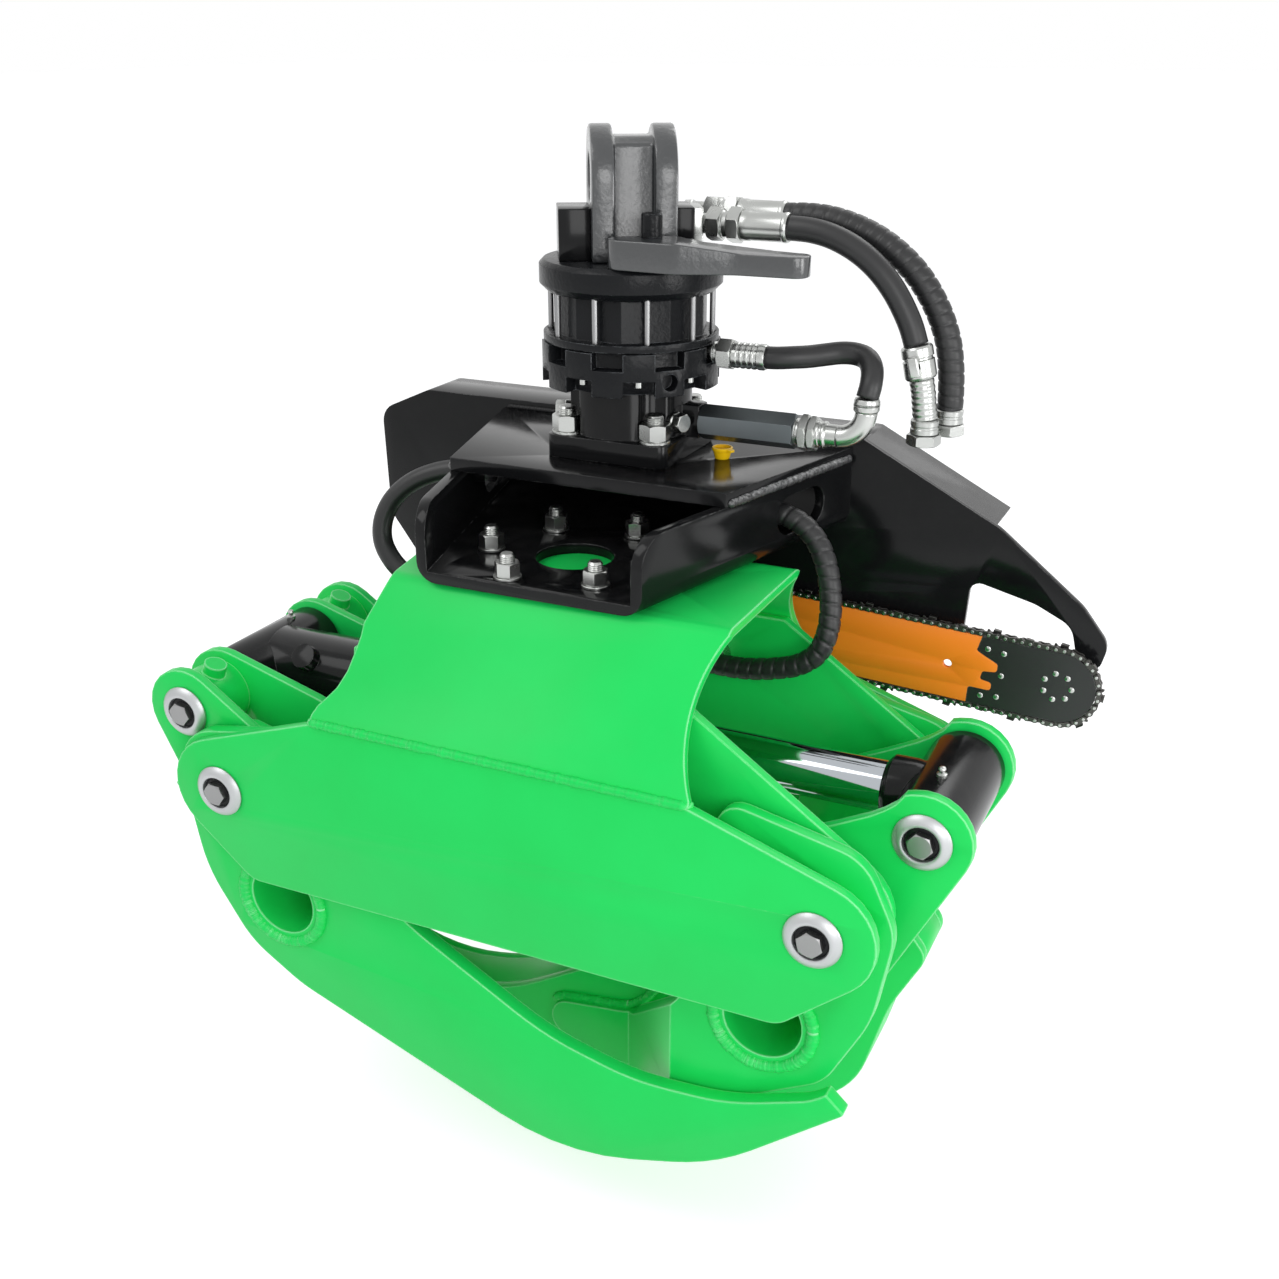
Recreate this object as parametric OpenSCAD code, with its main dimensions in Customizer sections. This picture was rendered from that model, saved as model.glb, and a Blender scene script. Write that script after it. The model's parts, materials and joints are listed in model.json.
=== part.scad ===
// Grapple saw: a hydraulic timber grapple with a bar saw, hung under a rotator.
// +X runs along the grapple, +Y towards the saw, +Z up, millimetres.
// The origin is the centre of the hanger lug's bore.

/* [Hanging and rotator] */
// Height of the hanger bore above the jaw pivots
hang_height = 647; // [635:1:680]
// Distance of the rotator axis behind the grapple's centre plane
rotor_offset = 143; // [135:1:150]
// Turn of the hanger lug about the rotator axis
lug_turn = 30; // [0:5:45]
// Diameter of the hanger bore
hanger_bore_d = 52; // [40:1:56]
// Thickness of each cheek of the hanger lug
cheek_t = 24; // [18:1:28]
// Gap between the cheeks
cheek_gap = 42; // [36:1:48]
// Diameter of the rotator's top flange
rotator_flange_d = 200; // [190:1:216]
// Thickness of the rotator's top flange
rotator_flange_t = 33; // [25:1:40]
// Corner radius of the ten-sided rotator drum
drum_r = 85; // [80:0.5:86]
// Height of the rotator drum
drum_h = 53; // [45:1:60]
// Number of tie bolts round the drum
tie_count = 10; // [8:1:10]
// Diameter of the tie bolts
tie_d = 8; // [6:1:10]
// Diameter of the slotted rotor ring
ring_d = 197; // [190:1:204]
// Height of the slotted rotor ring
ring_h = 46; // [42:1:50]
// Number of slots in the rotor ring
slot_count = 9; // [7:1:10]
// Side of the pedestal's square flange
pedestal_side = 144; // [142:1:160]
// Thickness of the pedestal's square flange
pedestal_t = 25; // [18:1:30]
// Height of the pedestal's round body
pedestal_body_h = 54; // [50:1:58]
// Pitch circle of the four pedestal bolts
pedestal_pcd = 150; // [140:1:152]
// Diameter of the rotor shaft
rotor_shaft_d = 60; // [50:1:64]

/* [Frame] */
// Distance between the two jaw pivots
pivot_span = 700; // [680:1:740]
// Width of the frame over its outer plates
frame_w = 400; // [390:1:420]
// Thickness of the frame plates
plate_t = 12; // [10:1:14]
// Distance from an outer plate's face to the inner plate's face
bay_w = 60; // [58:1:64]
// Radius of the plates' ends round the pivots
end_r = 62; // [56:1:66]
// Height of the outer plates above the pivots
plate_top = 110; // [104:1:120]
// Depth of the outer plates below the pivots
plate_drop = 108; // [100:1:112]
// Depth of the inner plates below the pivots
inner_drop = 70; // [60:1:74]
// Height of the hood's flat top above the pivots
hood_top = 255; // [250:1:270]
// Width of the hood's flat top, front to back
hood_flat = 200; // [190:1:220]
// Half length of the hood
hood_half = 220; // [214:1:226]
// Thickness of the hood plate
hood_t = 10; // [8:1:12]
// Inward sweep of the hood's ends
hood_waist = 20; // [12:1:24]

/* [Saw box] */
// Height of the saw box over floor and top plate
box_h = 97; // [92:1:110]
// Thickness of the saw box plates
box_t = 12; // [10:1:14]
// Thickness of the box's top plate
box_top_t = 15; // [12:1:18]
// Half width of the box at its open front
box_front_half = 130; // [124:1:136]
// Distance from the grapple's centre plane to the open front
box_front = 110; // [100:1:118]
// Distance from the grapple's centre plane to the guard plate
guard_y = 252; // [250:1:262]
// Splay of each side wall
box_splay = 15; // [12:1:16]
// Distance of the top plate's front edge behind the centre plane
top_front = 20; // [10:1:26]
// Diameter of the hose hole in the floor
floor_hole_d = 85; // [70:1:100]
// Pitch circle of the floor bolts
floor_pcd = 190; // [180:1:200]
// Number of floor bolts
floor_bolt_count = 6; // [4:2:6]
// Length of the oval hose holes in the side walls
oval_l = 90; // [80:1:100]
// Height of the oval hose holes
oval_h = 44; // [40:1:48]

/* [Jaws] */
// Distance of the ear pins outside the jaw pivots
ear_x = 72; // [68:1:76]
// Height of the ear pins above the jaw pivots
ear_z = 68; // [64:1:72]
// Radius of the ear lobes
ear_r = 50; // [46:1:52]
// Thickness of the ear plates
ear_t = 12; // [10:1:14]
// Distance of the inner ear plates from the frame's outer face
ear_inset = 105; // [102:1:110]
// Distance of the left jaw's outer ear plates from the frame's outer face
ear_outset = 38; // [37:0.5:40]
// Thickness of the left jaw plates
left_jaw_t = 18; // [16:1:20]
// Thickness of the right jaw plates
right_jaw_t = 14; // [12:1:14]
// Distance of the right jaw plates from the frame's outer face
right_inset = 36; // [35.5:0.5:38]
// Diameter of the cross tubes
cross_d = 102; // [95:1:108]
// Wall of the cross tubes
cross_wall = 9; // [6:0.5:12]
// Width of the right jaw's middle tine
tine_w = 80; // [74:1:90]
// Thickness of the tine's plates
tine_t = 12; // [10:1:14]
// Diameter of the pivot pins and the ear pins
pin_d = 40; // [36:1:44]
// Outside diameter of the pivot hubs and the ear bosses
hub_d = 76; // [70:1:78]
// Outside diameter of the bushes
bush_d = 50; // [48:1:54]
// Radial clearance of a running fit
fit = 0.05; // [0.02:0.01:0.09]
// Diameter of the pins' end washers
washer_d = 60; // [56:1:62]
// Thickness of the pins' end washers
washer_t = 8; // [6:1:8]

/* [Jaw cylinder] */
// Outside diameter of the cylinder barrel
barrel_d = 95; // [90:1:100]
// Bore of the cylinder barrel
bore_d = 80; // [76:1:82]
// Diameter of the piston rod
rod_d = 55; // [45:1:60]
// Outside diameter of the pin eyes
eye_d = 84; // [76:1:88]
// Distance from the left ear pin to the barrel's open end
barrel_reach = 480; // [460:1:500]
// Distance from the right ear pin to the piston's face
rod_reach = 500; // [480:1:506]

/* [Saw] */
// Place of the saw motor's axis left of the rotator axis
saw_x = 260; // [250:1:270]
// Height of the saw motor's axis above the jaw pivots
saw_z = 150; // [146:1:156]
// Downward slope of the parked bar
bar_slope = 3.2; // [2:0.1:4]
// Distance from the motor axis to the centre of the bar's nose
bar_reach = 746; // [735:1:752]
// Width of the bar
bar_w = 84; // [80:1:88]
// Thickness of the bar
bar_t = 6; // [5:0.5:7]
// Distance of the bar's middle from the grapple's centre plane
bar_y = 236; // [234:0.5:238]
// Height of the chain's band
chain_h = 9; // [8:0.5:11]
// Width of the chain
chain_w = 14; // [12:0.5:15]
// Number of chain cutters
cutter_count = 46; // [30:1:50]
// Thickness of the saw guard plate
guard_t = 8; // [6:1:10]
// Depth of the guard's folded lip
lip_w = 70; // [50:1:80]

/* [Hidden] */
$fn = 48;
pivot_x = pivot_span / 2;
half_w = frame_w / 2;
GREEN = "limegreen";
BLACK = [0.09, 0.09, 0.1];
CAST = [0.2, 0.22, 0.24];
STEEL = "silver";
HOSE = [0.13, 0.13, 0.14];

// Two-dimensional outlines

function flat(p) = [p[0], p[1]];
function unit(v) = v / norm(v);
function spun(v, a) = [v[0] * cos(a) - v[1] * sin(a), v[0] * sin(a) + v[1] * cos(a)];
function side_of(s, e) = s[0] * e[1] - s[1] * e[0] > 0 ? 1 : -1;

// One rounded corner at b, on the way from a to c
function corner(a, b, c, r, n) = r <= 0 ? [b] :
    let (u = unit(a - b), w = unit(c - b), half = acos(u * w) / 2,
         m = b + unit(u + w) * r / sin(half),
         s = b + u * r / tan(half) - m, e = b + w * r / tan(half) - m,
         turn = side_of(s, e) * (180 - 2 * half))
    [for (i = [0:n]) m + spun(s, turn * i / n)];

// An outline from corners given as [x, z, radius]
function rounded(pts, n = 5) = let (last = len(pts) - 1)
    [for (i = [0:last])
        each corner(flat(pts[i == 0 ? last : i - 1]), flat(pts[i]),
                    flat(pts[i == last ? 0 : i + 1]), pts[i][2], n)];

// The same for an open line
function arc_line(pts, n = 5) = let (last = len(pts) - 1)
    concat([flat(pts[0])], [for (i = [1:last - 1])
        each corner(flat(pts[i - 1]), flat(pts[i]), flat(pts[i + 1]), pts[i][2], n)], [flat(pts[last])]);

// The band of width t on the inner side of a line that runs clockwise
function band(line, t) = let (last = len(line) - 1) concat(line, [for (i = [last:-1:0])
    let (d = unit(line[min(i + 1, last)] - line[max(i - 1, 0)])) line[i] + t * [d[1], -d[0]]]);

// The angle at which the belt round two circles leaves the first, going clockwise
function belt_angle(a, b) = let (d = flat(b) - flat(a)) atan2(d[1], d[0]) + acos((a[2] - b[2]) / norm(d));

// A belt round circles given clockwise as [x, z, radius]
function lobes(cs, n = 10) = let (last = len(cs) - 1)
    [for (i = [0:last])
        let (a0 = belt_angle(cs[i == 0 ? last : i - 1], cs[i]),
             a1 = belt_angle(cs[i], cs[i == last ? 0 : i + 1]),
             sweep = ((a0 - a1) % 360 + 360) % 360)
        for (k = [0:n])
            let (a = a0 - sweep * k / n) flat(cs[i]) + cs[i][2] * [cos(a), sin(a)]];

function mirrored(pts) = [for (p = pts) [-p[0], p[1]]];
function moved(pts, dx, dz = 0) = [for (p = pts) [p[0] + dx, p[1] + dz]];
// Jaw outlines are drawn from the pivot, x towards the grapple's middle
function on_left(pts) = moved(pts, -pivot_x);
function on_right(pts) = moved(mirrored(pts), pivot_x);

// Where a plate starts that lies the distance d inside the frame's face on side s
function plate_y(s, d, t) = s < 0 ? -half_w + d : half_w - d - t;

// Shared modules

module at_grapple() { translate([0, -rotor_offset, -hang_height]) children(); }
module at_rotor() { translate([0, 0, -hang_height]) children(); }

// A plate with an outline in X and Z, from y to y + t
module plate(pts, y, t) { translate([0, y + t, 0]) rotate([90, 0, 0]) linear_extrude(t) polygon(pts); }
// A round bar along Y
module bar_along_y(x, z, r, y0, y1) { translate([x, y1, z]) rotate([90, 0, 0]) cylinder(r = r, h = y1 - y0); }
module tube_along_y(x, z, r, hole_r, y0, y1) {
    difference() {
        bar_along_y(x, z, r, y0, y1);
        bar_along_y(x, z, hole_r, y0 - 1, y1 + 1);
    }
}
module bar_along_x(y, z, r, x0, x1) { translate([x0, y, z]) rotate([0, 90, 0]) cylinder(r = r, h = x1 - x0); }
// A hexagonal head or nut, af across its flats, standing on the XY plane
module hexagon(af, h) { cylinder(r = af / sqrt(3), h = h, $fn = 6); }

// A round tube through hand-set points, ref is never along the path
// Each end turns to face what it is crimped into: start and finish are the directions there
function path_dir(p, i, start, finish) = i == 0 ? unit(start) : i == len(p) - 1 ? unit(finish)
    : unit(p[i + 1] - p[i - 1]);
function ring_at(p, i, r, ref, n, start, finish) =
    let (t = path_dir(p, i, start, finish), s = unit(cross(t, ref)), u = cross(s, t))
    [for (k = [0:n - 1]) p[i] + r * (s * cos(360 * k / n) + u * sin(360 * k / n))];
module hose(p, r, ref, start, finish, n = 10) {
    pts = [for (i = [0:len(p) - 1]) each ring_at(p, i, r, ref, n, start, finish)];
    last = (len(p) - 1) * n;
    sides = [for (i = [0:len(p) - 2]) for (k = [0:n - 1])
        let (a = i * n + k, b = i * n + (k + 1) % n) each [[a, b, b + n], [a, b + n, a + n]]];
    polyhedron(pts, concat([[for (k = [n - 1:-1:0]) k]], sides, [[for (k = [0:n - 1]) last + k]]));
}

// Heights in the rotator, above the jaw pivots
box_top_z = hood_top + box_h;
flange_z = box_top_z;
body_z = flange_z + pedestal_t;
ring_z = body_z + pedestal_body_h;
drum_z = ring_z + ring_h + 1;
top_flange_z = drum_z + drum_h;
foot_z = top_flange_z + rotator_flange_t;
drum_foot_t = 8;
shaft_top = top_flange_z - 6;
ring_bore_r = rotor_shaft_d / 2 + fit;
drum_bore_r = 50;

// Hanger lug: two cheeks on a foot, a recessed web between them, one bore through all
lug_foot_w = 90;
lug_foot_d = 104;
lug_foot_h = 16;
lug_head_r = 54;
lug_web_d = 62;
module hanger_lug() {
    color(CAST) rotate([0, 0, lug_turn]) difference() {
        union() {
            at_rotor() translate([-lug_foot_w / 2, -lug_foot_d / 2, foot_z])
                cube([lug_foot_w, lug_foot_d, lug_foot_h]);
            for (s = [-1, 1]) lug_cheek(s);
            intersection() {
                at_rotor() translate([-cheek_gap / 2, -lug_web_d / 2, foot_z + lug_foot_h])
                    cube([cheek_gap, lug_web_d, hang_height - foot_z + lug_head_r - 12 - lug_foot_h]);
                rotate([0, 90, 0]) translate([0, 0, -cheek_gap / 2])
                    union() {
                        cylinder(r = lug_head_r - 8, h = cheek_gap);
                        translate([0, -lug_foot_d / 2, 0])
                            cube([hang_height - foot_z, lug_foot_d, cheek_gap]);
                    }
            }
        }
        bar_along_x(0, 0, hanger_bore_d / 2, -lug_foot_w, lug_foot_w);
    }
}
// Each cheek's sides run from the corners of the foot to touch the round head
module lug_cheek(s) {
    foot = -(hang_height - foot_z - lug_foot_h);
    half = lug_foot_d / 2;
    reach = norm([half, foot]);
    open_side = reach > lug_head_r;
    a0 = open_side ? atan2(foot, half) + acos(lug_head_r / reach) : asin(foot / lug_head_r);
    step = (180 - 2 * a0) / 40;
    head = [for (i = [0:40]) lug_head_r * [cos(a0 + i * step), sin(a0 + i * step)]];
    x0 = s < 0 ? -cheek_gap / 2 - cheek_t : cheek_gap / 2;
    translate([x0, 0, 0]) rotate([90, 0, 90]) linear_extrude(cheek_t)
        polygon(open_side ? concat([[half, foot]], head, [[-half, foot]]) : head);
}

flange_edge = 5;
module rotator_flange() {
    r = rotator_flange_d / 2;
    color(CAST) at_rotor() difference() {
        rotate_extrude($fn = 72) polygon([[0, top_flange_z], [r - 8, top_flange_z], [r, top_flange_z + 8],
            [r, foot_z - flange_edge], [r - flange_edge, foot_z], [0, foot_z]]);
        for (i = [0:tie_count - 1]) rotate([0, 0, 360 / tie_count * (i + 0.5)])
            translate([tie_r, 0, top_flange_z - 1]) cylinder(r = tie_d / 2 + fit, h = 16, $fn = 16);
    }
}

// Rotator drum: flat panels over a round bore, on a thin foot that the tie bolts clamp
tie_r = drum_r + tie_d / 2 + 0.2;
module rotator_drum() {
    color(CAST) at_rotor() difference() {
        union() {
            translate([0, 0, drum_z]) cylinder(r = ring_d / 2 - 2, h = drum_foot_t, $fn = 72);
            translate([0, 0, drum_z + drum_foot_t]) cylinder(r = drum_r, h = drum_h - drum_foot_t, $fn = 10);
        }
        translate([0, 0, drum_z - 1]) cylinder(r = rotor_shaft_d / 2 + fit, h = drum_h);
        translate([0, 0, drum_z + 10]) cylinder(r = drum_bore_r, h = drum_h);
        for (i = [0:tie_count - 1]) rotate([0, 0, 360 / tie_count * (i + 0.5)])
            translate([tie_r, 0, drum_z - 1]) cylinder(r = tie_d / 2 + fit, h = drum_foot_t + 2, $fn = 16);
    }
}
module tie_bolts() {
    color(STEEL) at_rotor() for (i = [0:tie_count - 1]) rotate([0, 0, 360 / tie_count * (i + 0.5)])
        translate([tie_r, 0, drum_z]) cylinder(d = tie_d, h = drum_h + 14, $fn = 16);
}

// Port blocks either side of the lug's foot
block_w = [34, 20];
block_d = 62;
block_h = 54;
module port_blocks() {
    color(BLACK) rotate([0, 0, lug_turn]) at_rotor() {
        translate([-lug_foot_w / 2 - block_w[0], -block_d / 2, foot_z]) cube([block_w[0], block_d, block_h]);
        translate([lug_foot_w / 2, -block_d / 2, foot_z]) cube([block_w[1], block_d, block_h]);
    }
}

// Cast arm that keeps the supply hoses off the drum
arm_h = 30;
arm_bolt = [50, -56];
module hose_guard_arm() {
    color(CAST) at_rotor() difference() {
        translate([0, 0, foot_z]) linear_extrude(arm_h)
            polygon(rounded([[14, -66, 8], [10, -94, 16], [92, -98, 40], [150, -74, 40], [221, -70, 14],
                [221, -38, 14], [140, -42, 40], [96, -58, 30], [72, -36, 10], [34, -52, 8]]));
        translate([arm_bolt[0], arm_bolt[1], foot_z - 1]) cylinder(d = 14 + 2 * fit, h = arm_h + 2);
    }
}
module guard_arm_bolt() {
    color(CAST) at_rotor() translate([arm_bolt[0], arm_bolt[1], 0]) {
        translate([0, 0, foot_z]) cylinder(d = 14, h = arm_h);
        difference() {
            translate([0, 0, foot_z + arm_h]) cylinder(d = 22, h = 24);
            translate([0, 0, foot_z + arm_h + 14]) hexagon(10, 12);
        }
    }
}

// Supply hoses: fixed to the upper half of the rotator, clear above all that turns
supply_r = 13;
supply_front_y = 42;
supply_rear_y = 74;
supply_z = 598;
front_route = [[165, 42, 598], [187, 42, 597], [208, 42, 593], [229, 42, 585], [248, 42, 574], [265, 42, 560],
    [280, 42, 543], [292, 42, 525], [302, 42, 506], [309, 42, 487]];
tail_route = [[317, 42, 452], [320, 42, 438], [322, 42, 424], [324, 42, 410]];
rear_route = [[150, 74, 606], [175, 74, 607], [200, 74, 605], [225, 74, 599], [250, 74, 589], [273, 74, 575],
    [294, 74, 557], [311, 74, 536], [325, 74, 512], [335, 74, 486], [340, 74, 459], [342, 74, 432],
    [342, 74, 416]];
module supply_fitting(x0, y, z, x1) {
    translate([x0, y, z]) rotate([0, 90, 0]) {
        translate([0, 0, -6]) cylinder(r = 12, h = 8);
        translate([0, 0, 2]) hexagon(32, 16);
        translate([0, 0, 18]) cylinder(r = 15, h = 8);
        translate([0, 0, 26]) hexagon(34, 14);
        translate([0, 0, 40]) cylinder(r = 16, h = x1 - x0 - 40);
    }
}
module supply_fittings() {
    color(STEEL) at_rotor() {
        supply_fitting(72, supply_front_y, supply_z, front_route[0][0]);
        supply_fitting(56, supply_rear_y, 606, rear_route[0][0]);
        supply_manifold();
    }
}
// The block beside the right port block that both supply lines screw into
module supply_manifold() {
    rotate([0, 0, lug_turn]) translate([lug_foot_w / 2 + block_w[1], -10, foot_z + 4]) cube([12, 76, 48]);
}
coupling_way = tail_route[0] - front_route[len(front_route) - 1];
module supply_hose_front() {
    color(HOSE) at_rotor() hose(front_route, supply_r, [0, 1, 0], [1, 0, 0], coupling_way);
}
module supply_hose_tail() {
    color(STEEL) at_rotor() hose(tail_route, supply_r, [0, 1, 0], coupling_way, [0, 0, -1]);
}
module supply_hose_rear() {
    color(HOSE) at_rotor() hose(rear_route, supply_r + 1, [0, 1, 0], [1, 0, 0], [0, 0, -1]);
}
module hose_coupling() {
    a = front_route[len(front_route) - 1];
    b = tail_route[0];
    tilt = atan2(b[0] - a[0], a[2] - b[2]);
    color(STEEL) at_rotor() translate(b) rotate([0, -tilt, 0]) {
        cylinder(r = 17, h = norm(a - b));
        translate([14, -6, 6]) cube([10, 12, 20]);
    }
}
module end_fitting(p) {
    translate(p) {
        translate([0, 0, -16]) cylinder(r = 15, h = 16);
        translate([0, 0, -28]) hexagon(32, 12);
    }
}
module hose_end_fittings() {
    color(STEEL) at_rotor() {
        end_fitting(tail_route[len(tail_route) - 1]);
        end_fitting(rear_route[len(rear_route) - 1]);
    }
}

// Rotor ring: slots down from the top edge and up from the bottom edge, half a pitch apart
slot_w = 34;
slot_depth = 18;
module rotor_ring() {
    pitch = 360 / slot_count;
    color(CAST) at_rotor() difference() {
        translate([0, 0, ring_z]) cylinder(d = ring_d, h = ring_h, $fn = 72);
        translate([0, 0, ring_z - 1]) cylinder(r = ring_bore_r, h = ring_h + 2);
        for (i = [0:slot_count - 1]) {
            rotate([0, 0, pitch * i]) translate([80, -slot_w / 2, ring_z + ring_h - slot_depth])
                cube([40, slot_w, slot_depth + 1]);
            rotate([0, 0, pitch * (i + 0.5)]) translate([80, -slot_w / 2, ring_z - 1])
                cube([40, slot_w, slot_depth]);
        }
        for (a = [-40, 80, 200]) rotate([0, 0, a]) translate([84, 0, ring_z + 15]) rotate([0, 90, 0])
            cylinder(r = 9, h = 30, $fn = 24);
    }
}
// Rotor shaft with its two vanes in the drum's bore
module rotor_shaft() {
    color(STEEL) at_rotor() {
        translate([0, 0, ring_z]) cylinder(d = rotor_shaft_d, h = shaft_top - ring_z);
        for (s = [-1, 1])
            translate([s > 0 ? 0 : 1 - drum_bore_r, -6, drum_z + 12])
                cube([drum_bore_r - 1, 12, shaft_top - drum_z - 12]);
    }
}
module rotor_pedestal() {
    r = pedestal_side / 2;
    color(BLACK) at_rotor() difference() {
        union() {
            translate([0, 0, flange_z]) linear_extrude(pedestal_t)
                polygon(rounded([[-r, -r, 12], [r, -r, 12], [r, r, 12], [-r, r, 12]]));
            difference() {
                translate([0, 0, body_z - 1]) cylinder(r = r - 4, h = pedestal_body_h + 1);
                for (a = [45:90:315]) rotate([0, 0, a]) translate([pedestal_pcd / 2, 0, body_z - 2])
                    cylinder(d = 36, h = pedestal_body_h + 4);
            }
            translate([50, -12, body_z - 2]) cube([37, 24, 36]);
        }
        for (a = [45:90:315]) rotate([0, 0, a]) translate([pedestal_pcd / 2, 0, flange_z - 1])
            cylinder(d = 20 + 2 * fit, h = pedestal_t + 2);
    }
}
// Through bolts with washer and nut above the flange, head under the box's top plate
module pedestal_bolts() {
    color(STEEL) at_rotor() for (a = [45:90:315]) rotate([0, 0, a]) translate([pedestal_pcd / 2, 0, 0]) {
        translate([0, 0, box_top_z - box_top_t]) cylinder(d = 20, h = box_top_t + pedestal_t + 30);
        translate([0, 0, body_z]) cylinder(d = 35, h = 3);
        translate([0, 0, body_z + 3]) hexagon(30, 18);
        translate([0, 0, box_top_z - box_top_t - 12.5]) hexagon(30, 12.5);
    }
}
module pedestal_plugs() {
    color(STEEL) at_rotor() for (a = [-22, 202]) rotate([0, 0, a])
        translate([pedestal_side / 2 - 4.2, 0, body_z + 18]) rotate([0, 90, 0]) {
        translate([0, 0, 0.5]) cylinder(r = 11, h = 6);
        translate([0, 0, 6.5]) hexagon(19, 11);
    }
}

// Jumper line on the turning half: long hexagon adaptor, elbow, hose loop, side fitting
jumper_r = 12;
adaptor_z = 392;
side_port_z = ring_z + ring_h - 8.5;
adaptor_end = 196;
elbow_x = 242;
elbow_r = 30;
jumper_route = [[272, 0, 436], [274, 4, 450], [271, 15, 463], [262, 26, 471], [248, 32, 474], [232, 31, 474],
    [216, 24, 472], [201, 14, 470.5], [187, 6, 470], [172, 1, 469], [160, 0, side_port_z]];
module jumper_fittings() {
    color(STEEL) at_rotor() {
        translate([87, 0, adaptor_z]) rotate([0, 90, 0]) hexagon(34, adaptor_end - 87);
        translate([adaptor_end, 0, adaptor_z]) rotate([0, 90, 0]) {
            cylinder(r = 15, h = 6);
            translate([0, 0, 6]) hexagon(36, 18);
            translate([0, 0, 24]) cylinder(r = 13, h = elbow_x - adaptor_end - 24);
        }
        translate([elbow_x, 0, adaptor_z + elbow_r]) rotate([90, 0, 0])
            rotate([0, 0, -90]) rotate_extrude(angle = 90) translate([elbow_r, 0]) circle(r = 12, $fn = 24);
        translate([elbow_x + elbow_r, 0, adaptor_z + elbow_r]) cylinder(r = 14, h = 14);
        translate([80, 0, side_port_z]) rotate([0, 90, 0]) {
            cylinder(r = 9, h = 26);
            translate([0, 0, 26]) hexagon(30, 16);
            translate([0, 0, 42]) cylinder(r = 14, h = 38);
        }
    }
}
module jumper_hose() {
    color(HOSE) at_rotor() hose(jumper_route, jumper_r, [0, 1, 0.1], [0, 0, 1], [-1, 0, 0]);
}

// Saw box: a bent floor and two splayed walls with rounded bends, a rear wall against the guard
function box_half(y) = box_front_half + (y + box_front) * tan(box_splay);
box_bend = 22;
box_inner_h = box_h - box_top_t;
wall_x = box_t / cos(box_splay);
module box_wall(s) {
    a = box_half(-box_front);
    b = box_half(guard_y);
    translate([0, 0, hood_top]) linear_extrude(box_inner_h)
        polygon([[s * a, -box_front], [s * b, guard_y], [s * (b - wall_x), guard_y],
            [s * (a - wall_x), -box_front]]);
}
// Cuts the round bend along a wall's lower edge
module bend_cutter(s) {
    r = box_bend;
    arc = concat([[1, -1], [1, r]], [for (a = [0:-15:-90]) [r * cos(a) - r, r + r * sin(a)]], [[-r, -1]]);
    translate([s * box_front_half, -box_front, hood_top]) rotate([0, 0, -s * box_splay])
        translate([0, 420, 0]) rotate([90, 0, 0]) linear_extrude(460) polygon(s > 0 ? arc : mirrored(arc));
}
module oval_hole(s) {
    y = 155;
    x = box_half(y);
    translate([s * x, y, hood_top + 46]) rotate([0, 0, -s * box_splay]) rotate([0, 90, 0]) hull()
        for (e = [-1, 1]) translate([0, e * (oval_l - oval_h) / 2, -30])
            cylinder(d = oval_h, h = 60, $fn = 32);
}
module floor_holes(r) {
    for (i = [0:floor_bolt_count - 1]) rotate([0, 0, 10 + 360 / floor_bolt_count * i])
        translate([floor_pcd / 2, 0, hood_top - 100]) cylinder(r = r, h = 200);
}
module saw_box_shell() {
    a = box_front_half - wall_x / 2;
    b = box_half(guard_y) - wall_x / 2;
    color(BLACK) at_grapple() difference() {
        union() {
            box_wall(-1);
            box_wall(1);
            translate([0, 0, hood_top]) linear_extrude(box_t)
                polygon([[-a, -box_front], [-b, guard_y], [b, guard_y], [a, -box_front]]);
            translate([-b, guard_y - box_t, hood_top]) cube([2 * b, box_t, box_inner_h]);
        }
        bend_cutter(-1);
        bend_cutter(1);
        wall_front_round();
        for (s = [-1, 1]) oval_hole(s);
        translate([0, 0, hood_top - 1]) cylinder(d = floor_hole_d, h = box_t + 2);
        floor_holes(8 + fit);
    }
}
// Rounds the walls' front top corners, along both walls
module wall_front_round() {
    r = 34;
    translate([0, -box_front, hood_top + box_inner_h - r]) rotate([90, 0, 90])
        translate([0, 0, -300]) linear_extrude(600)
            polygon(concat([[-1, r + 1], [-1, 0]], [for (a = [0:15:90]) [r - r * cos(a), r * sin(a)]],
                [[r, r + 1]]));
}
module box_top_plate() {
    z = hood_top + box_inner_h;
    color(BLACK) at_grapple() difference() {
        translate([0, 0, z]) linear_extrude(box_top_t)
            polygon([[-box_half(top_front), top_front], [-box_half(guard_y), guard_y],
                [box_half(guard_y), guard_y], [box_half(top_front), top_front]]);
        translate([0, rotor_offset, 0]) for (a = [45:90:315]) rotate([0, 0, a])
            translate([pedestal_pcd / 2, 0, z - 1]) cylinder(d = 20 + 2 * fit, h = box_top_t + 2);
        translate([0, rotor_offset, z - 1]) cylinder(d = 60, h = box_top_t + 2);
        cap_place() translate([0, 0, -1]) cylinder(d = 12 + 2 * fit, h = 60, center = true);
    }
}
module floor_bolts() {
    z = hood_top + box_t;
    color(STEEL) at_grapple() for (i = [0:floor_bolt_count - 1])
        rotate([0, 0, 10 + 360 / floor_bolt_count * i])
        translate([floor_pcd / 2, 0, 0]) {
            translate([0, 0, hood_top - hood_t]) cylinder(d = 16, h = hood_t + box_t + 27);
            translate([0, 0, z]) cylinder(d = 30, h = 3);
            translate([0, 0, z + 3]) hexagon(24, 15);
        }
}
module cap_place() { translate([110, 145, box_top_z]) children(); }
module breather_cap() {
    color("gold") at_grapple() cap_place() {
        translate([0, 0, -10]) cylinder(d = 12, h = 10);
        cylinder(d1 = 16, d2 = 22, h = 9);
        translate([0, 0, 9]) cylinder(d = 23, h = 4);
        translate([6, -3, 9]) cube([10, 6, 4]);
    }
}

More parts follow.
